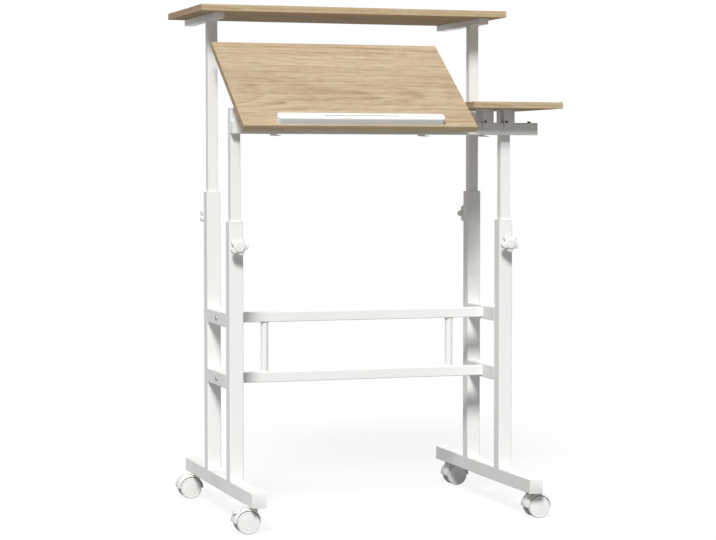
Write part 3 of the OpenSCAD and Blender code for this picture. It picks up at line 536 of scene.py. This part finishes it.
# %% [markdown]
# A bead runs across the front and the back of each post's foot, round each strut's end,
# along the edges of the bridges' ends, and round the risers where they meet the beam and
# the brackets. The paths stop short of the tubes' rounded corners.

# %% Draw the paths and grow the beads
def paths_mesh(name, paths):
    """Edges along lists of points; a path with more than two points is closed."""
    mesh = bpy.data.meshes.new(name)
    points, edges = [], []
    for path in paths:
        first, count = len(points), len(path)
        points += path
        edges += [(first + i, first + (i + 1) % count) for i in range(count if count > 2 else 1)]
    mesh.from_pydata(points, edges, [])
    return mesh


bead_radius, ripple_pitch, corner_in = 0.0014, 0.0022, 0.003


def path_across(low, high, y, z):
    """A path over a tube's width, without its rounded corners."""
    return [Vector((low.x + corner_in, y, z)), Vector((high.x - corner_in, y, z))]


def grow_beads(name, body, paths):
    """Weld beads along paths, as one painted piece of a body."""
    beads = mesh_piece(name, paths_mesh(name, paths))
    grow(beads, bead_tree, {"Bead radius": bead_radius, "Ripple pitch": ripple_pitch,
                            "Finish": powder_coat})
    stands_for(beads, powder_coat, body)
    print(name, len(beads.data.polygons), "faces")


stand_paths = []
bar_low, bar_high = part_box("foot_bar_left")
half_bar = (bar_high.x - bar_low.x) / 2
for corner in ("front_left", "front_right", "rear_left", "rear_right"):
    low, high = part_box("post_" + corner)
    axis_y = middle_of("riser_" + corner).y
    stand_paths += [path_across(low, high, axis_y + off, low.z) for off in (-half_bar, half_bar)]
for side in ("left", "right"):
    for level in ("upper", "lower"):
        low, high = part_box(f"bridge_{level}_{side}")
        stand_paths += [path_across(low, high, y, z)
                        for y in (low.y, high.y) for z in (low.z, high.z)]
    low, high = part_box("strut_" + side)
    for z in (low.z, high.z):
        centre = Vector(((low.x + high.x) / 2, (low.y + high.y) / 2, z))
        circle = polar_ring(round_shape, (high.x - low.x) / 2, 0.0, 32)
        stand_paths.append([centre + point for point in circle])

beam_low, beam_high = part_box("front_beam")
desk_paths, shelf_paths = [], []
for side in ("left", "right"):
    low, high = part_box("riser_front_" + side)
    desk_paths += [[Vector((x, beam_high.y, beam_low.z + corner_in)),
                    Vector((x, beam_high.y, beam_high.z - corner_in))] for x in (low.x, high.x)]
    low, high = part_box("riser_rear_" + side)
    ends = [Vector((x, y, high.z)) for x, y in (
        (low.x, low.y), (high.x, low.y), (high.x, high.y), (low.x, high.y))]
    shelf_paths += [[a.lerp(b, 0.1), a.lerp(b, 0.9)] for a, b in zip(ends, ends[1:] + ends[:1])]
grow_beads("stand_weld_beads", "stand", stand_paths)
grow_beads("desk_weld_beads", "desk_carriage", desk_paths)
grow_beads("shelf_weld_beads", "shelf_carriage", shelf_paths)

# %% [markdown]
# ### Caps and guides
# Each open tube end is closed with a plastic cap, and each post end has a plastic guide in
# which the thinner tube slides. They are moulded, so their edges are rounded a little more
# than those of the steel.

# %% Caps, guides and swivel pins
soften(moulded_arris, white_plastic, {
    "foot_bar_caps": "stand", "tube_guides": "stand", "tube_caps": "desk_carriage"})
soften(fine_arris, black_oxide, {"caster_stems": "stand"})

# %% [markdown]
# ## The three boards
# A furniture board is cut square, gets an edge band about a millimetre thick, and the
# band's corners are rounded by a cutter. So a board is a box with small rounded edges and
# two finishes: decor on the faces and band on the edges. The bands are shifted in the
# board's map, so that they don't repeat the face's grain.

# %% Helpers for boards
board_tilt = radians(35.15)
band_radius = 0.0008
band_shift, end_shift = 0.4, 0.6


def sloping_frame(node):
    """Where a piece on the sloping board stands, and its size when level."""
    low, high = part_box(node)
    reach, rise = high.y - low.y, high.z - low.z
    c, s = cos(board_tilt), sin(board_tilt)
    long = (reach * c - rise * s) / (c * c - s * s)
    tall = (rise * c - reach * s) / (c * c - s * s)
    origin = Vector((low.x, low.y + tall * s, low.z))
    place = Matrix.Translation(origin) @ Matrix.Rotation(board_tilt, 4, "X")
    return place, Vector((high.x - low.x, long, tall))


def level_frame(node):
    """The same for a level piece."""
    low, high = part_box(node)
    return Matrix.Translation(low), high - low


def board(name, node, frame_of, body, face_finish):
    """A board with decor on its faces and a rounded band round its edges."""
    place, size = frame_of(node)
    bm = bmesh.new()
    bmesh.ops.create_cube(bm, size=1.0)
    for v in bm.verts:
        v.co = Vector([(share + 0.5) * length for share, length in zip(v.co, size)])
    bmesh.ops.bevel(bm, geom=bm.edges[:], offset=band_radius, segments=3, profile=0.5,
                    affect="EDGES")
    bm.normal_update()
    grain = bm.loops.layers.uv.new("grain")
    for face in bm.faces:
        n = face.normal
        # The ends, the faces across X, take the end band with its painted shade.
        face.material_index = (0 if n.z > 0.99 else 3 if n.z < -0.99
                               else 2 if abs(n.x) > 0.7 else 1)
        for loop in face.loops:
            p = loop.vert.co
            loop[grain].uv = ((p.x, p.y) if abs(n.z) > 0.7
                              else (p.x, p.z + band_shift) if abs(n.y) > 0.7
                              else (p.y, p.z + end_shift))
    mesh = done(bm, name, 50)
    mesh.transform(place)
    piece = mesh_piece(name, mesh, face_finish, oak_band, oak_end_band_painted_shade, oak_back)
    harden = piece.modifiers.new("even shading", "WEIGHTED_NORMAL")
    harden.keep_sharp = True
    stands_for(piece, face_finish, body, node)
    print(name, in_mm(size), "mm")


# %% [markdown]
# The sloping board is built level and then turned about its lowest edge, which its packed
# box gives. The other two boards are level, so their boxes tell their sizes directly.

# %% Make the boards
board("tilting_board", "main_board", sloping_frame, "tilting_board", oak_faces["main"])
board("side_board_top", "side_board", level_frame, "side_table", oak_faces["side"])
board("shelf_board", "top_shelf", level_frame, "shelf_carriage", oak_faces["shelf"])

# %% [markdown]
# ## The stop ledge
# A moulded bar across the front of the sloping board keeps a book or computer from
# sliding off. It has well rounded top edges, rounded ends in plan and a groove that holds
# a sheet of paper or a tablet upright. All of these outlines are rounded rectangles, so
# one loft makes the bar, its rounded top, the groove and its floor.

# %% Make the ledge
ledge_place, ledge_size = sloping_frame("board_ledge")


def ledge_ring(w, d, r, drop):
    """A rounded rectangle, w wide and d deep, round the ledge's middle, below its top."""
    ring = []
    for start, (sx, sy) in zip((0, 90, 180, 270), ((1, 1), (-1, 1), (-1, -1), (1, -1))):
        for i in range(8):
            a = radians(start + 90 * i / 7)
            ring.append(Vector((ledge_size.x / 2 + sx * (w / 2 - r) + r * cos(a),
                                ledge_size.y / 2 + sy * (d / 2 - r) + r * sin(a),
                                ledge_size.z - drop)))
    return ring


ledge_corner, ledge_top_radius = 0.009, 0.0035
groove_l, groove_w, groove_d, groove_lip = 0.185, 0.004, 0.005, 0.0006
rings = [ledge_ring(ledge_size.x, ledge_size.y, ledge_corner, ledge_size.z)]
for i in range(6):
    a = radians(18 * i)
    inset, drop = ledge_top_radius * (1 - cos(a)), ledge_top_radius * (1 - sin(a))
    rings.append(ledge_ring(ledge_size.x - 2 * inset, ledge_size.y - 2 * inset,
                            ledge_corner - inset, drop))
for extra, drop in ((groove_lip, 0.0), (0.0, groove_lip), (0.0, groove_d - groove_lip),
                    (-groove_lip, groove_d)):
    rings.append(ledge_ring(groove_l + 2 * extra, groove_w + 2 * extra,
                            groove_w / 2 + extra - 0.00001, drop))
ledge_mesh = lofted("stop_ledge", rings, 35)
ledge_mesh.transform(ledge_place)
dress("stop_ledge", ledge_mesh, white_plastic, "tilting_board", "board_ledge")
print("ledge", in_mm(ledge_size), "mm")

# %% [markdown]
# ## Clips, hinge leaves and shelf brackets
# Clips and leaves are cut from two-millimetre sheet, bent and painted: a bend has a radius
# near the sheet's thickness, and a cut edge is only broken. The shelf's brackets are flat
# tubes with a plate at each end and ground edges. Below each wood screw their underside
# has a wider hole, through which the screw and the driver pass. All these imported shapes
# are right, so softened copies stand for them.

# %% Pressed steel parts and brackets
soften(pressed_arris, powder_coat, {
    "board_clip_left": "desk_carriage", "board_clip_right": "desk_carriage",
    "hinge_leaf_left": "tilting_board", "hinge_leaf_right": "tilting_board",
    "side_clip_left": "side_table", "side_clip_right": "side_table"})
soften(fine_arris, powder_coat, {
    "shelf_bracket_left": "shelf_carriage", "shelf_bracket_right": "shelf_carriage"})

# %% [markdown]
# ## Turned parts
# A screw, a pin or a knob is turned round one axis. The rows of a loft are then a shape, a
# size and a height: round for a shank, six-sided for a socket, cross-shaped for a recess.
# A thread is a row of small ridges at its pitch.

# %% Helper for turned parts
def turned(name, rows, steps=24, smooth_below=40):
    """A mesh along Z from rows of shape, size and height."""
    return lofted(name, [polar_ring(shape, size, z, steps) for shape, size, z in rows],
                  smooth_below)


def round_rows(*sizes_and_heights):
    """Rows of circles."""
    return [(round_shape, size, z) for size, z in sizes_and_heights]


def thread_rows(radius, start, end, pitch, ridge):
    """Rows of a threaded shank between two heights."""
    rows, z = [], start
    while z + pitch <= end:
        rows += round_rows((radius - ridge, z), (radius, z + pitch / 2))
        z += pitch
    return rows + round_rows((radius - ridge, end))


tip_share, ridge_share = 0.35, 0.12
head_profile = ((1.0, 0.0), (1.0, 0.45), (0.94, 0.72), (0.8, 0.92), (0.62, 1.0))
recess_profile = ((1.0, 1.0), (0.94, 0.46), (1 / 3, 0.4))


def screw_rows(head_d, head_h, shank_d, shank_l, pitch, recess, recess_d):
    """A screw whose seat is at height zero, head above and shank below."""
    r = shank_d / 2
    rows = round_rows((r * tip_share, -shank_l))
    rows += thread_rows(r, -shank_l + r, -pitch, pitch, ridge_share * shank_d)
    rows += round_rows((r, -pitch / 2), (r, 0.0))
    rows += round_rows(*((head_d / 2 * share, head_h * rise) for share, rise in head_profile))
    return rows + [(recess, recess_d / 2 * share, head_h * rise)
                   for share, rise in recess_profile]


# %% [markdown]
# ### Screws by Geometry Nodes
# The desk has dozens of screws of a few kinds. One screw of each kind is turned once. A
# tree then puts a copy on each point, turns it to the way that the point's attribute
# says, spins it by a random angle round its own axis, as real screws stop anywhere, and
# makes the copies real.

# %% The tree "screws on points"
screw_tree, given, result = new_group("GeometryNodeTree", "screws on points", {
    "Geometry": "Geometry", "Screw": "Object", "Finish": "Material", "Seed": "Int"},
    {"Geometry": "Geometry"})
master = step(screw_tree, "GeometryNodeObjectInfo", Object=given["Screw"], As_Instance=True)
pointing = step(screw_tree, "GeometryNodeInputNamedAttribute", {"data_type": "FLOAT_VECTOR"},
                Name="points to")
aligned = step(screw_tree, "FunctionNodeAlignRotationToVector", {"axis": "Z"},
               Vector=pointing["Attribute"])
spin = step(screw_tree, "FunctionNodeRandomValue", {"data_type": "FLOAT_VECTOR"},
            Min=(0, 0, 0), Max=(0, 0, pi), Seed=given["Seed"])
spun = step(screw_tree, "FunctionNodeRotateRotation", {"rotation_space": "LOCAL"},
            Rotation=aligned[0], Rotate_By=spin[0])
placed = step(screw_tree, "GeometryNodeInstanceOnPoints", Points=given["Geometry"],
              Instance=master["Geometry"], Rotation=spun[0])
real = step(screw_tree, "GeometryNodeRealizeInstances", Geometry=placed[0])
plated = step(screw_tree, "GeometryNodeSetMaterial", Geometry=real[0], Material=given["Finish"])
feed(result["Geometry"], plated[0])
print("tree:", screw_tree.name, "with", len(screw_tree.nodes), "nodes")

# %% [markdown]
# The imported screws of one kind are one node. A walk along its edges tells the separate
# lumps apart, and the box of each lump is enough to place a screw.

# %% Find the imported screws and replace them
def lumps(node, into=Matrix.Identity(4)):
    """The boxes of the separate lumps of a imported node, as seen in a frame."""
    bm = joined(node)
    boxes, seen = [], set()
    for first in bm.verts:
        group, queue = [], [first]
        while queue:
            v = queue.pop()
            if v not in seen:
                seen.add(v)
                group.append(into @ v.co)
                queue += [e.other_vert(v) for e in v.link_edges]
        if group:
            boxes.append((Vector(map(min, zip(*group))), Vector(map(max, zip(*group)))))
    bm.free()
    return boxes


def seats(boxes, towards, head_h, place=Matrix.Identity(4)):
    """Points under screw heads that all look one way in the frame of a place."""
    points = []
    for low, high in boxes:
        reach = abs(((high - low) / 2).dot(towards)) - head_h
        points.append((place @ ((low + high) / 2 + reach * towards), place.to_3x3() @ towards))
    return points


def screws(name, body, material, rows, points, seed_value, *replaced):
    """Copies of a turned part on points of (place, direction)."""
    pattern = mesh_piece(name + "_pattern", turned(name, rows), material)
    point_mesh = bpy.data.meshes.new(name)
    point_mesh.from_pydata([point for point, _ in points], [], [])
    way = point_mesh.attributes.new("points to", "FLOAT_VECTOR", "POINT")
    for i, (_, direction) in enumerate(points):
        way.data[i].vector = direction
    piece = mesh_piece(name, point_mesh)
    grow(piece, screw_tree, {"Screw": pattern, "Finish": material, "Seed": seed_value})
    piece.data.shade_smooth()
    piece.data.set_sharp_from_angle(angle=radians(40))
    bpy.data.objects.remove(pattern)
    print(name, len(points), "copies,", len(piece.data.polygons), "faces")
    stands_for(piece, material, body, *replaced)


# %% [markdown]
# ### Which screws go where
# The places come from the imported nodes: a box gives the screw's middle, and its head is at
# the end that stands out of the sheet or tube. On the sloping board the boxes are taken in
# the board's own frame. Wood screws come first: they go up into the boards.

# %% Put the wood screws in
wood_head_d, wood_head_h, wood_recess_d, wood_pitch = 0.008, 0.002, 0.0048, 0.0018
small_shank_d = 0.004
down, forward, to_right = Vector((0, 0, -1)), Vector((0, -1, 0)), Vector((1, 0, 0))
screw_low, screw_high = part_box("shelf_screws")
wood_rows = screw_rows(wood_head_d, wood_head_h, small_shank_d,
                       screw_high.z - screw_low.z - wood_head_h, wood_pitch, cross_shape,
                       wood_recess_d)
for name, body, node, place, seed_value in (
        ("shelf_bracket_screws", "shelf_carriage", "shelf_screws", Matrix.Identity(4), 3),
        ("side_board_wood_screws", "side_table", "side_board_screws", Matrix.Identity(4), 5),
        ("tilting_board_screws", "tilting_board", "board_screws",
         sloping_frame("main_board")[0], 7)):
    points = seats(lumps(node, place.inverted()), down, wood_head_h, place)
    screws(name, body, zinc, wood_rows, points, seed_value, node)

# %% [markdown]
# The crossbar bolts have wide heads with a six-sided recess, and their zinc is duller than
# that of the screws. The clips' screws and the stop screw are small and blackened.

# %% Put the bolts and the small screws in
bolt_head_d, bolt_head_h, bolt_recess_d, bolt_d, bolt_pitch = 0.012, 0.003, 0.005, 0.006, 0.001
bolt_boxes = lumps("crossbar_bolts")
bolt_l = max(high.x - low.x for low, high in bolt_boxes) - bolt_head_h
bolt_points = []
for low, high in bolt_boxes:
    on_right = (low.x + high.x) / 2 > middle_of("crossbar_upper").x
    bolt_points += seats([(low, high)], to_right if on_right else -to_right, bolt_head_h)
screws("crossbar_bolt_set", "stand", dull_zinc,
       screw_rows(bolt_head_d, bolt_head_h, bolt_d, bolt_l, bolt_pitch, hexagon_shape,
                  bolt_recess_d), bolt_points, 11, "crossbar_bolts")

clip_head_d, clip_head_h, clip_recess_d, fine_pitch = 0.0062, 0.0025, 0.0045, 0.0007
clip_boxes = [(a, b) for a, b in lumps("beam_screws") if b.y - a.y > b.z - a.z]
clip_screw_l = clip_boxes[0][1].y - clip_boxes[0][0].y - clip_head_h
clip_rows = screw_rows(clip_head_d, clip_head_h, small_shank_d, clip_screw_l, fine_pitch,
                       cross_shape, clip_recess_d)
screws("board_clip_screws", "desk_carriage", black_oxide, clip_rows,
       seats(clip_boxes, forward, clip_head_h), 13, "beam_screws")
screws("side_clip_screw_set", "side_table", black_oxide, clip_rows,
       seats(lumps("side_clip_screws"), forward, clip_head_h), 17, "side_clip_screws")

stop_low, stop_high = next(box for box in lumps("beam_screws") if box not in clip_boxes)
stop_head_h, stop_recess_d = stop_high.z - beam_high.z, 0.004
screws("stop_screw", "desk_carriage", black_oxide,
       screw_rows(stop_high.x - stop_low.x, stop_head_h, small_shank_d,
                  beam_high.z - stop_low.z, fine_pitch, hexagon_shape, stop_recess_d),
       seats([(stop_low, stop_high)], -down, stop_head_h), 19)

# %% [markdown]
# ### Hinge pins
# A riveted pin holds each leaf to its clip: a plain shank between two domed heads. It is
# turned once and put on two points with the same tree.

# %% Put the hinge pins in
pin_boxes = lumps("hinge_pins")
pin_size = pin_boxes[0][1] - pin_boxes[0][0]
pin_shank_r, pin_head_h = 0.003, 0.002
dome = ((1.0, 0.0), (1.0, 0.3), (0.88, 0.62), (0.6, 0.88), (0.25, 1.0))
half_pin = [(pin_shank_r, pin_size.x / 2 - pin_head_h)]
half_pin += [(pin_size.z / 2 * share, pin_size.x / 2 - pin_head_h * (1 - rise))
             for share, rise in dome]
pin_rows = round_rows(*((r, -x) for r, x in reversed(half_pin)), *half_pin)
screws("hinge_rivets", "desk_carriage", zinc, pin_rows,
       [((a + b) / 2, to_right) for a, b in pin_boxes], 23, "hinge_pins")

# %% [markdown]
# ## Clamp screws and star knobs
# Turning a knob drives its threaded screw against the sliding tube. The knob is a moulded
# star: five lobes round a solid middle, a neck behind and a raised cap in front. Its
# outline is the larger of the core's radius and the lobes' reach, blended so that the
# valleys are soft. Each knob was left at its own angle, as on a desk that is in use.

# %% The outline and the rows of a knob
lobe_reach, lobe_radius, core_radius, valley = 0.015, 0.0075, 0.0155, 0.0025
tip_radius = lobe_reach + lobe_radius
knob_body_l, neck_l, neck_radius, neck_arris, bore_radius = 0.016, 0.006, 0.0085, 0.0006, 0.0042
cap_radius, cap_h, cap_lip, cap_sunk = 0.0132, 0.003, 0.0008, 0.0004
back_edge = ((0.86, 0.0), (0.93, 0.0006), (0.98, 0.002), (1.0, 0.0042))
front_edge = ((1.0, 0.0048), (0.985, 0.0028), (0.95, 0.0012), (0.89, 0.0003), (0.83, 0.0))
cap_profile = ((1.0, 0.55), (0.93, 0.85), (0.8, 0.97), (0.4, 1.0))


def star_shape(angle):
    """The knob's outline, with the tip of a lobe at angle zero."""
    turn = radians(72)
    off = (angle + turn / 2) % turn - turn / 2
    inside = lobe_radius ** 2 - (lobe_reach * sin(off)) ** 2
    lobe = lobe_reach * cos(off) + (sqrt(inside) if inside > 0 else 0.0)
    share = min(max(0.5 + 0.5 * (lobe - core_radius) / valley, 0.0), 1.0)
    return (core_radius + (lobe - core_radius) * share + valley * share * (1 - share)) / tip_radius


def knob_rows():
    """The neck, the star with its softened edges, and the cap."""
    front = neck_l + knob_body_l
    rows = round_rows((bore_radius, 0.0), (neck_radius - neck_arris, 0.0),
                      (neck_radius, neck_arris), (neck_radius, neck_l))
    rows += [(star_shape, tip_radius * share, neck_l + z) for share, z in back_edge]
    rows += [(star_shape, tip_radius * share, front - z) for share, z in front_edge]
    rows += round_rows((cap_radius + cap_lip, front - cap_sunk), (cap_radius, front - cap_sunk))
    return rows + round_rows(*((cap_radius * share, front + cap_h * rise)
                               for share, rise in cap_profile))


# %% [markdown]
# The knob's screw is an M8 thread with a pitch of 1.25 millimetres and a chamfer at both
# ends. Front and rear knobs point away from each other, so the same mesh is stood up
# forwards or backwards.

# %% Put the knobs and their screws on
lobe_directions = {"front_left": -72, "front_right": -92, "rear_left": -72, "rear_right": 180}
clamp_pitch, clamp_ridge, clamp_chamfer, clamp_end_share = 0.00125, 0.00065, 0.0008, 0.72
for corner, direction in lobe_directions.items():
    sign, near = (1, 1) if corner.startswith("front") else (-1, 0)
    axis = middle_of("clamp_screw_" + corner)
    stand_up = Matrix.Rotation(radians(90 * sign), 4, "X")
    knob_y, screw_y = (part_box(node + corner)[near].y for node in ("knob_", "clamp_screw_"))
    mesh = turned("star_knob_" + corner, knob_rows(), 120, 50)
    mesh.transform(Matrix.Translation((axis.x, knob_y, axis.z)) @ stand_up
                   @ Matrix.Rotation(radians(direction * sign), 4, "Z"))
    dress("star_knob_" + corner, mesh, white_plastic, "grip_" + corner, "knob_" + corner)

    screw_low, screw_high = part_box("clamp_screw_" + corner)
    screw_l, screw_r = screw_high.y - screw_low.y, (screw_high.x - screw_low.x) / 2
    rows = round_rows((screw_r * clamp_end_share, 0.0))
    rows += thread_rows(screw_r, clamp_chamfer, screw_l - clamp_chamfer, clamp_pitch, clamp_ridge)
    rows += round_rows((screw_r * clamp_end_share, screw_l))
    mesh = turned("clamp_thread_" + corner, rows)
    mesh.transform(Matrix.Translation((axis.x, screw_y, axis.z)) @ stand_up)
    dress("clamp_thread_" + corner, mesh, zinc, "clamp_" + corner, "clamp_screw_" + corner)
print("knobs:", in_mm([2 * tip_radius]), "mm across the lobes")

# %% [markdown]
# ## Casters
# A twin-wheel caster has one hood with a web between its two wheels. The hood is a half
# ring over both wheels, moulded with the web and the boss for the swivel pin. Each wheel
# is a moulded disc with a softer tread, a raised rim and a hub cap.

# %% Hoods and brake levers
soften(pressed_arris, white_plastic, {
    "caster_hood_" + corner: "swivel_" + corner for corner in lobe_directions})
soften(fine_arris, white_plastic, {
    "brake_lever_left": "brake_left", "brake_lever_right": "brake_right"})

# %% [markdown]
# One wheel is a profile turned round its axle, from the bore over the inner face, the
# tread with its rounded edges and the raised rim to the hub cap.

# %% Wheels
wheel_w, tread_t, rim_w, rim_foot = 0.013, 0.0022, 0.0035, 0.001
bore_r, face_sunk = 0.004, 0.0008
tread_edge = ((0.0012, 0.0004), (0.0003, 0.0014), (0.0, 0.0030))
rim_step = ((0.0008, 0.0006), (0.0016, 0.0006))
hub_profile = ((0.70, 0.0002), (0.45, 0.00005), (0.25, 0.0), (0.245, 0.0005), (0.225, 0.0005),
               (0.22, 0.0), (0.08, 0.0))
axle_r, axle_tip_r, axle_reach, axle_chamfer = 0.003, 0.0029, 0.004, 0.0004


def wheel_mesh(name, r):
    """One wheel along Z: its inner face at zero, its outer face at its width."""
    profile = [(bore_r, face_sunk), (r - rim_w - rim_foot, face_sunk), (r - rim_w, 0.0),
               (r - tread_t, 0.0)]
    profile += [(r - drop, side) for drop, side in tread_edge]
    profile += [(r - drop, wheel_w - side) for drop, side in reversed(tread_edge)]
    profile += [(r - tread_t, wheel_w), (r - rim_w, wheel_w)]
    profile += [(r - rim_w - inwards, wheel_w - sunk) for inwards, sunk in rim_step]
    profile += [(r * share, wheel_w - sunk) for share, sunk in hub_profile]
    mesh = turned(name, round_rows(*profile), 96, 45)
    for face in mesh.polygons:
        from_axle = hypot(face.center.x, face.center.y)
        face.material_index = 1 if from_axle > r - tread_t * 0.95 else 0
    return mesh


for corner in lobe_directions:
    low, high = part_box("caster_wheels_" + corner)
    axle, radius = (low + high) / 2, (high.z - low.z) / 2
    inner = (high.y - low.y) / 2 - wheel_w
    bm = bmesh.new()
    for outward in (-1, 1):
        mesh = wheel_mesh("wheel", radius)
        mesh.transform(Matrix.Translation((axle.x, axle.y + outward * inner, axle.z))
                       @ Matrix.Rotation(radians(-90 * outward), 4, "X"))
        bm.from_mesh(mesh)
        bpy.data.meshes.remove(mesh)
    name = "wheel_pair_" + corner
    pair = mesh_piece(name, done(bm, name, 45), white_plastic, tread_plastic)
    stands_for(pair, white_plastic, "wheels_" + corner, "caster_wheels_" + corner)

    half_axle = [(axle_r, inner + axle_reach - axle_chamfer), (axle_tip_r, inner + axle_reach)]
    rod = turned("axle_" + corner, round_rows(*((r, -z) for r, z in reversed(half_axle)),
                                              *half_axle))
    rod.transform(Matrix.Translation(axle) @ Matrix.Rotation(radians(90), 4, "X"))
    dress("axle_" + corner, rod, zinc, "wheels_" + corner)
print("wheels:", in_mm([2 * radius]), "mm across")

# %% [markdown]
# ## Floor, sky and light
# The photograph has a plain white ground. The floor is a large white sheet that keeps a
# faint shadow, and the sky is white for the camera and for reflections, but dimmer as a
# light. One large soft lamp stands in front on the left and above, so front faces are
# light, left faces are darker, and the boards throw soft shadows on the posts behind. A
# weaker and wider one behind on the right lights the faces that the first one misses.

# %% Light the sky
def mixed(share, first, second):
    """A mix of two surfaces."""
    node = first.id_data.nodes.new("ShaderNodeMixShader")
    for socket, term in zip(node.inputs, (share, first, second)):
        feed(socket, term)
    return node.outputs[0]


def white_for_the_eye(shown, lit):
    """One surface for camera, mirror and glass rays, another for light."""
    path = step(lit.id_data, "ShaderNodeLightPath")
    seen = reckon("MAXIMUM", path["Is Camera Ray"], reckon(
        "MAXIMUM", path["Is Glossy Ray"], path["Is Transmission Ray"]))
    return mixed(seen, lit, shown)


sky_light, white = 0.29, (1.0, 1.0, 1.0, 1.0)
world = bpy.data.worlds.new("white sky")
bpy.context.scene.world = world
world.use_nodes = True
tree = world.node_tree
lit = tree.nodes["Background"]
feed(lit.inputs["Color"], white)
feed(lit.inputs["Strength"], sky_light)
shown = step(tree, "ShaderNodeBackground", Color=white, Strength=1.0)[0]
feed(tree.nodes["World Output"].inputs["Surface"], white_for_the_eye(shown, lit.outputs[0]))
print("sky light", sky_light)

# %% [markdown]
# The floor is two papers in one: a grey one for the light that it bounces up, and one for
# the eye that glows almost white and takes only a little of the shadows.

# %% Lay the floor
floor_half, floor_bounce, floor_shown, floor_glow = 12.0, 0.33, 0.99, 0.88
floor_mesh = bpy.data.meshes.new("floor")
floor_mesh.from_pydata([(x * floor_half, y * floor_half, 0)
                        for x, y in ((-1, -1), (1, -1), (1, 1), (-1, 1))], [], [(0, 1, 2, 3)])
material, tree, shader = finish("white floor")
feed(shader["Base Color"], (floor_bounce, floor_bounce, floor_bounce, 1))
feed(shader["Roughness"], 0.9)
feed(shader["Specular IOR Level"], 0.0)
bounce = tree.nodes["Principled BSDF"].outputs[0]
paper = step(tree, "ShaderNodeBsdfDiffuse", Color=(floor_shown, floor_shown, floor_shown, 1))[0]
glow = step(tree, "ShaderNodeEmission", Strength=1.0)[0]
feed(tree.nodes["Material Output"].inputs["Surface"],
     white_for_the_eye(mixed(floor_glow, paper, glow), bounce))
mesh_piece("floor", floor_mesh, material)
print("floor:", 2 * floor_half, "m wide")

# %% [markdown]
# A wide lamp makes soft shadows, a narrow one hard shadows. Each lamp is given by the
# direction that it stands in, its width in degrees and its strength.

# %% Hang the lamps
lamps = {
    "key lamp": ((-0.47, -1.0, 1.05), 15, 3.25),
    "back lamp": ((0.6, 1.0, 0.0), 30, 1.6),
}
for name, (towards, wide, strength) in lamps.items():
    lamp_data = bpy.data.lights.new(name, "SUN")
    lamp_data.energy = strength
    lamp_data.angle = radians(wide)
    lamp = bpy.data.objects.new(name, lamp_data)
    lamp.rotation_euler = Vector(towards).to_track_quat("Z", "Y").to_euler()
    bpy.context.scene.collection.objects.link(lamp)
    print(name, "towards", towards, "strength", strength)
bpy.context.scene.view_settings.view_transform = "Standard"
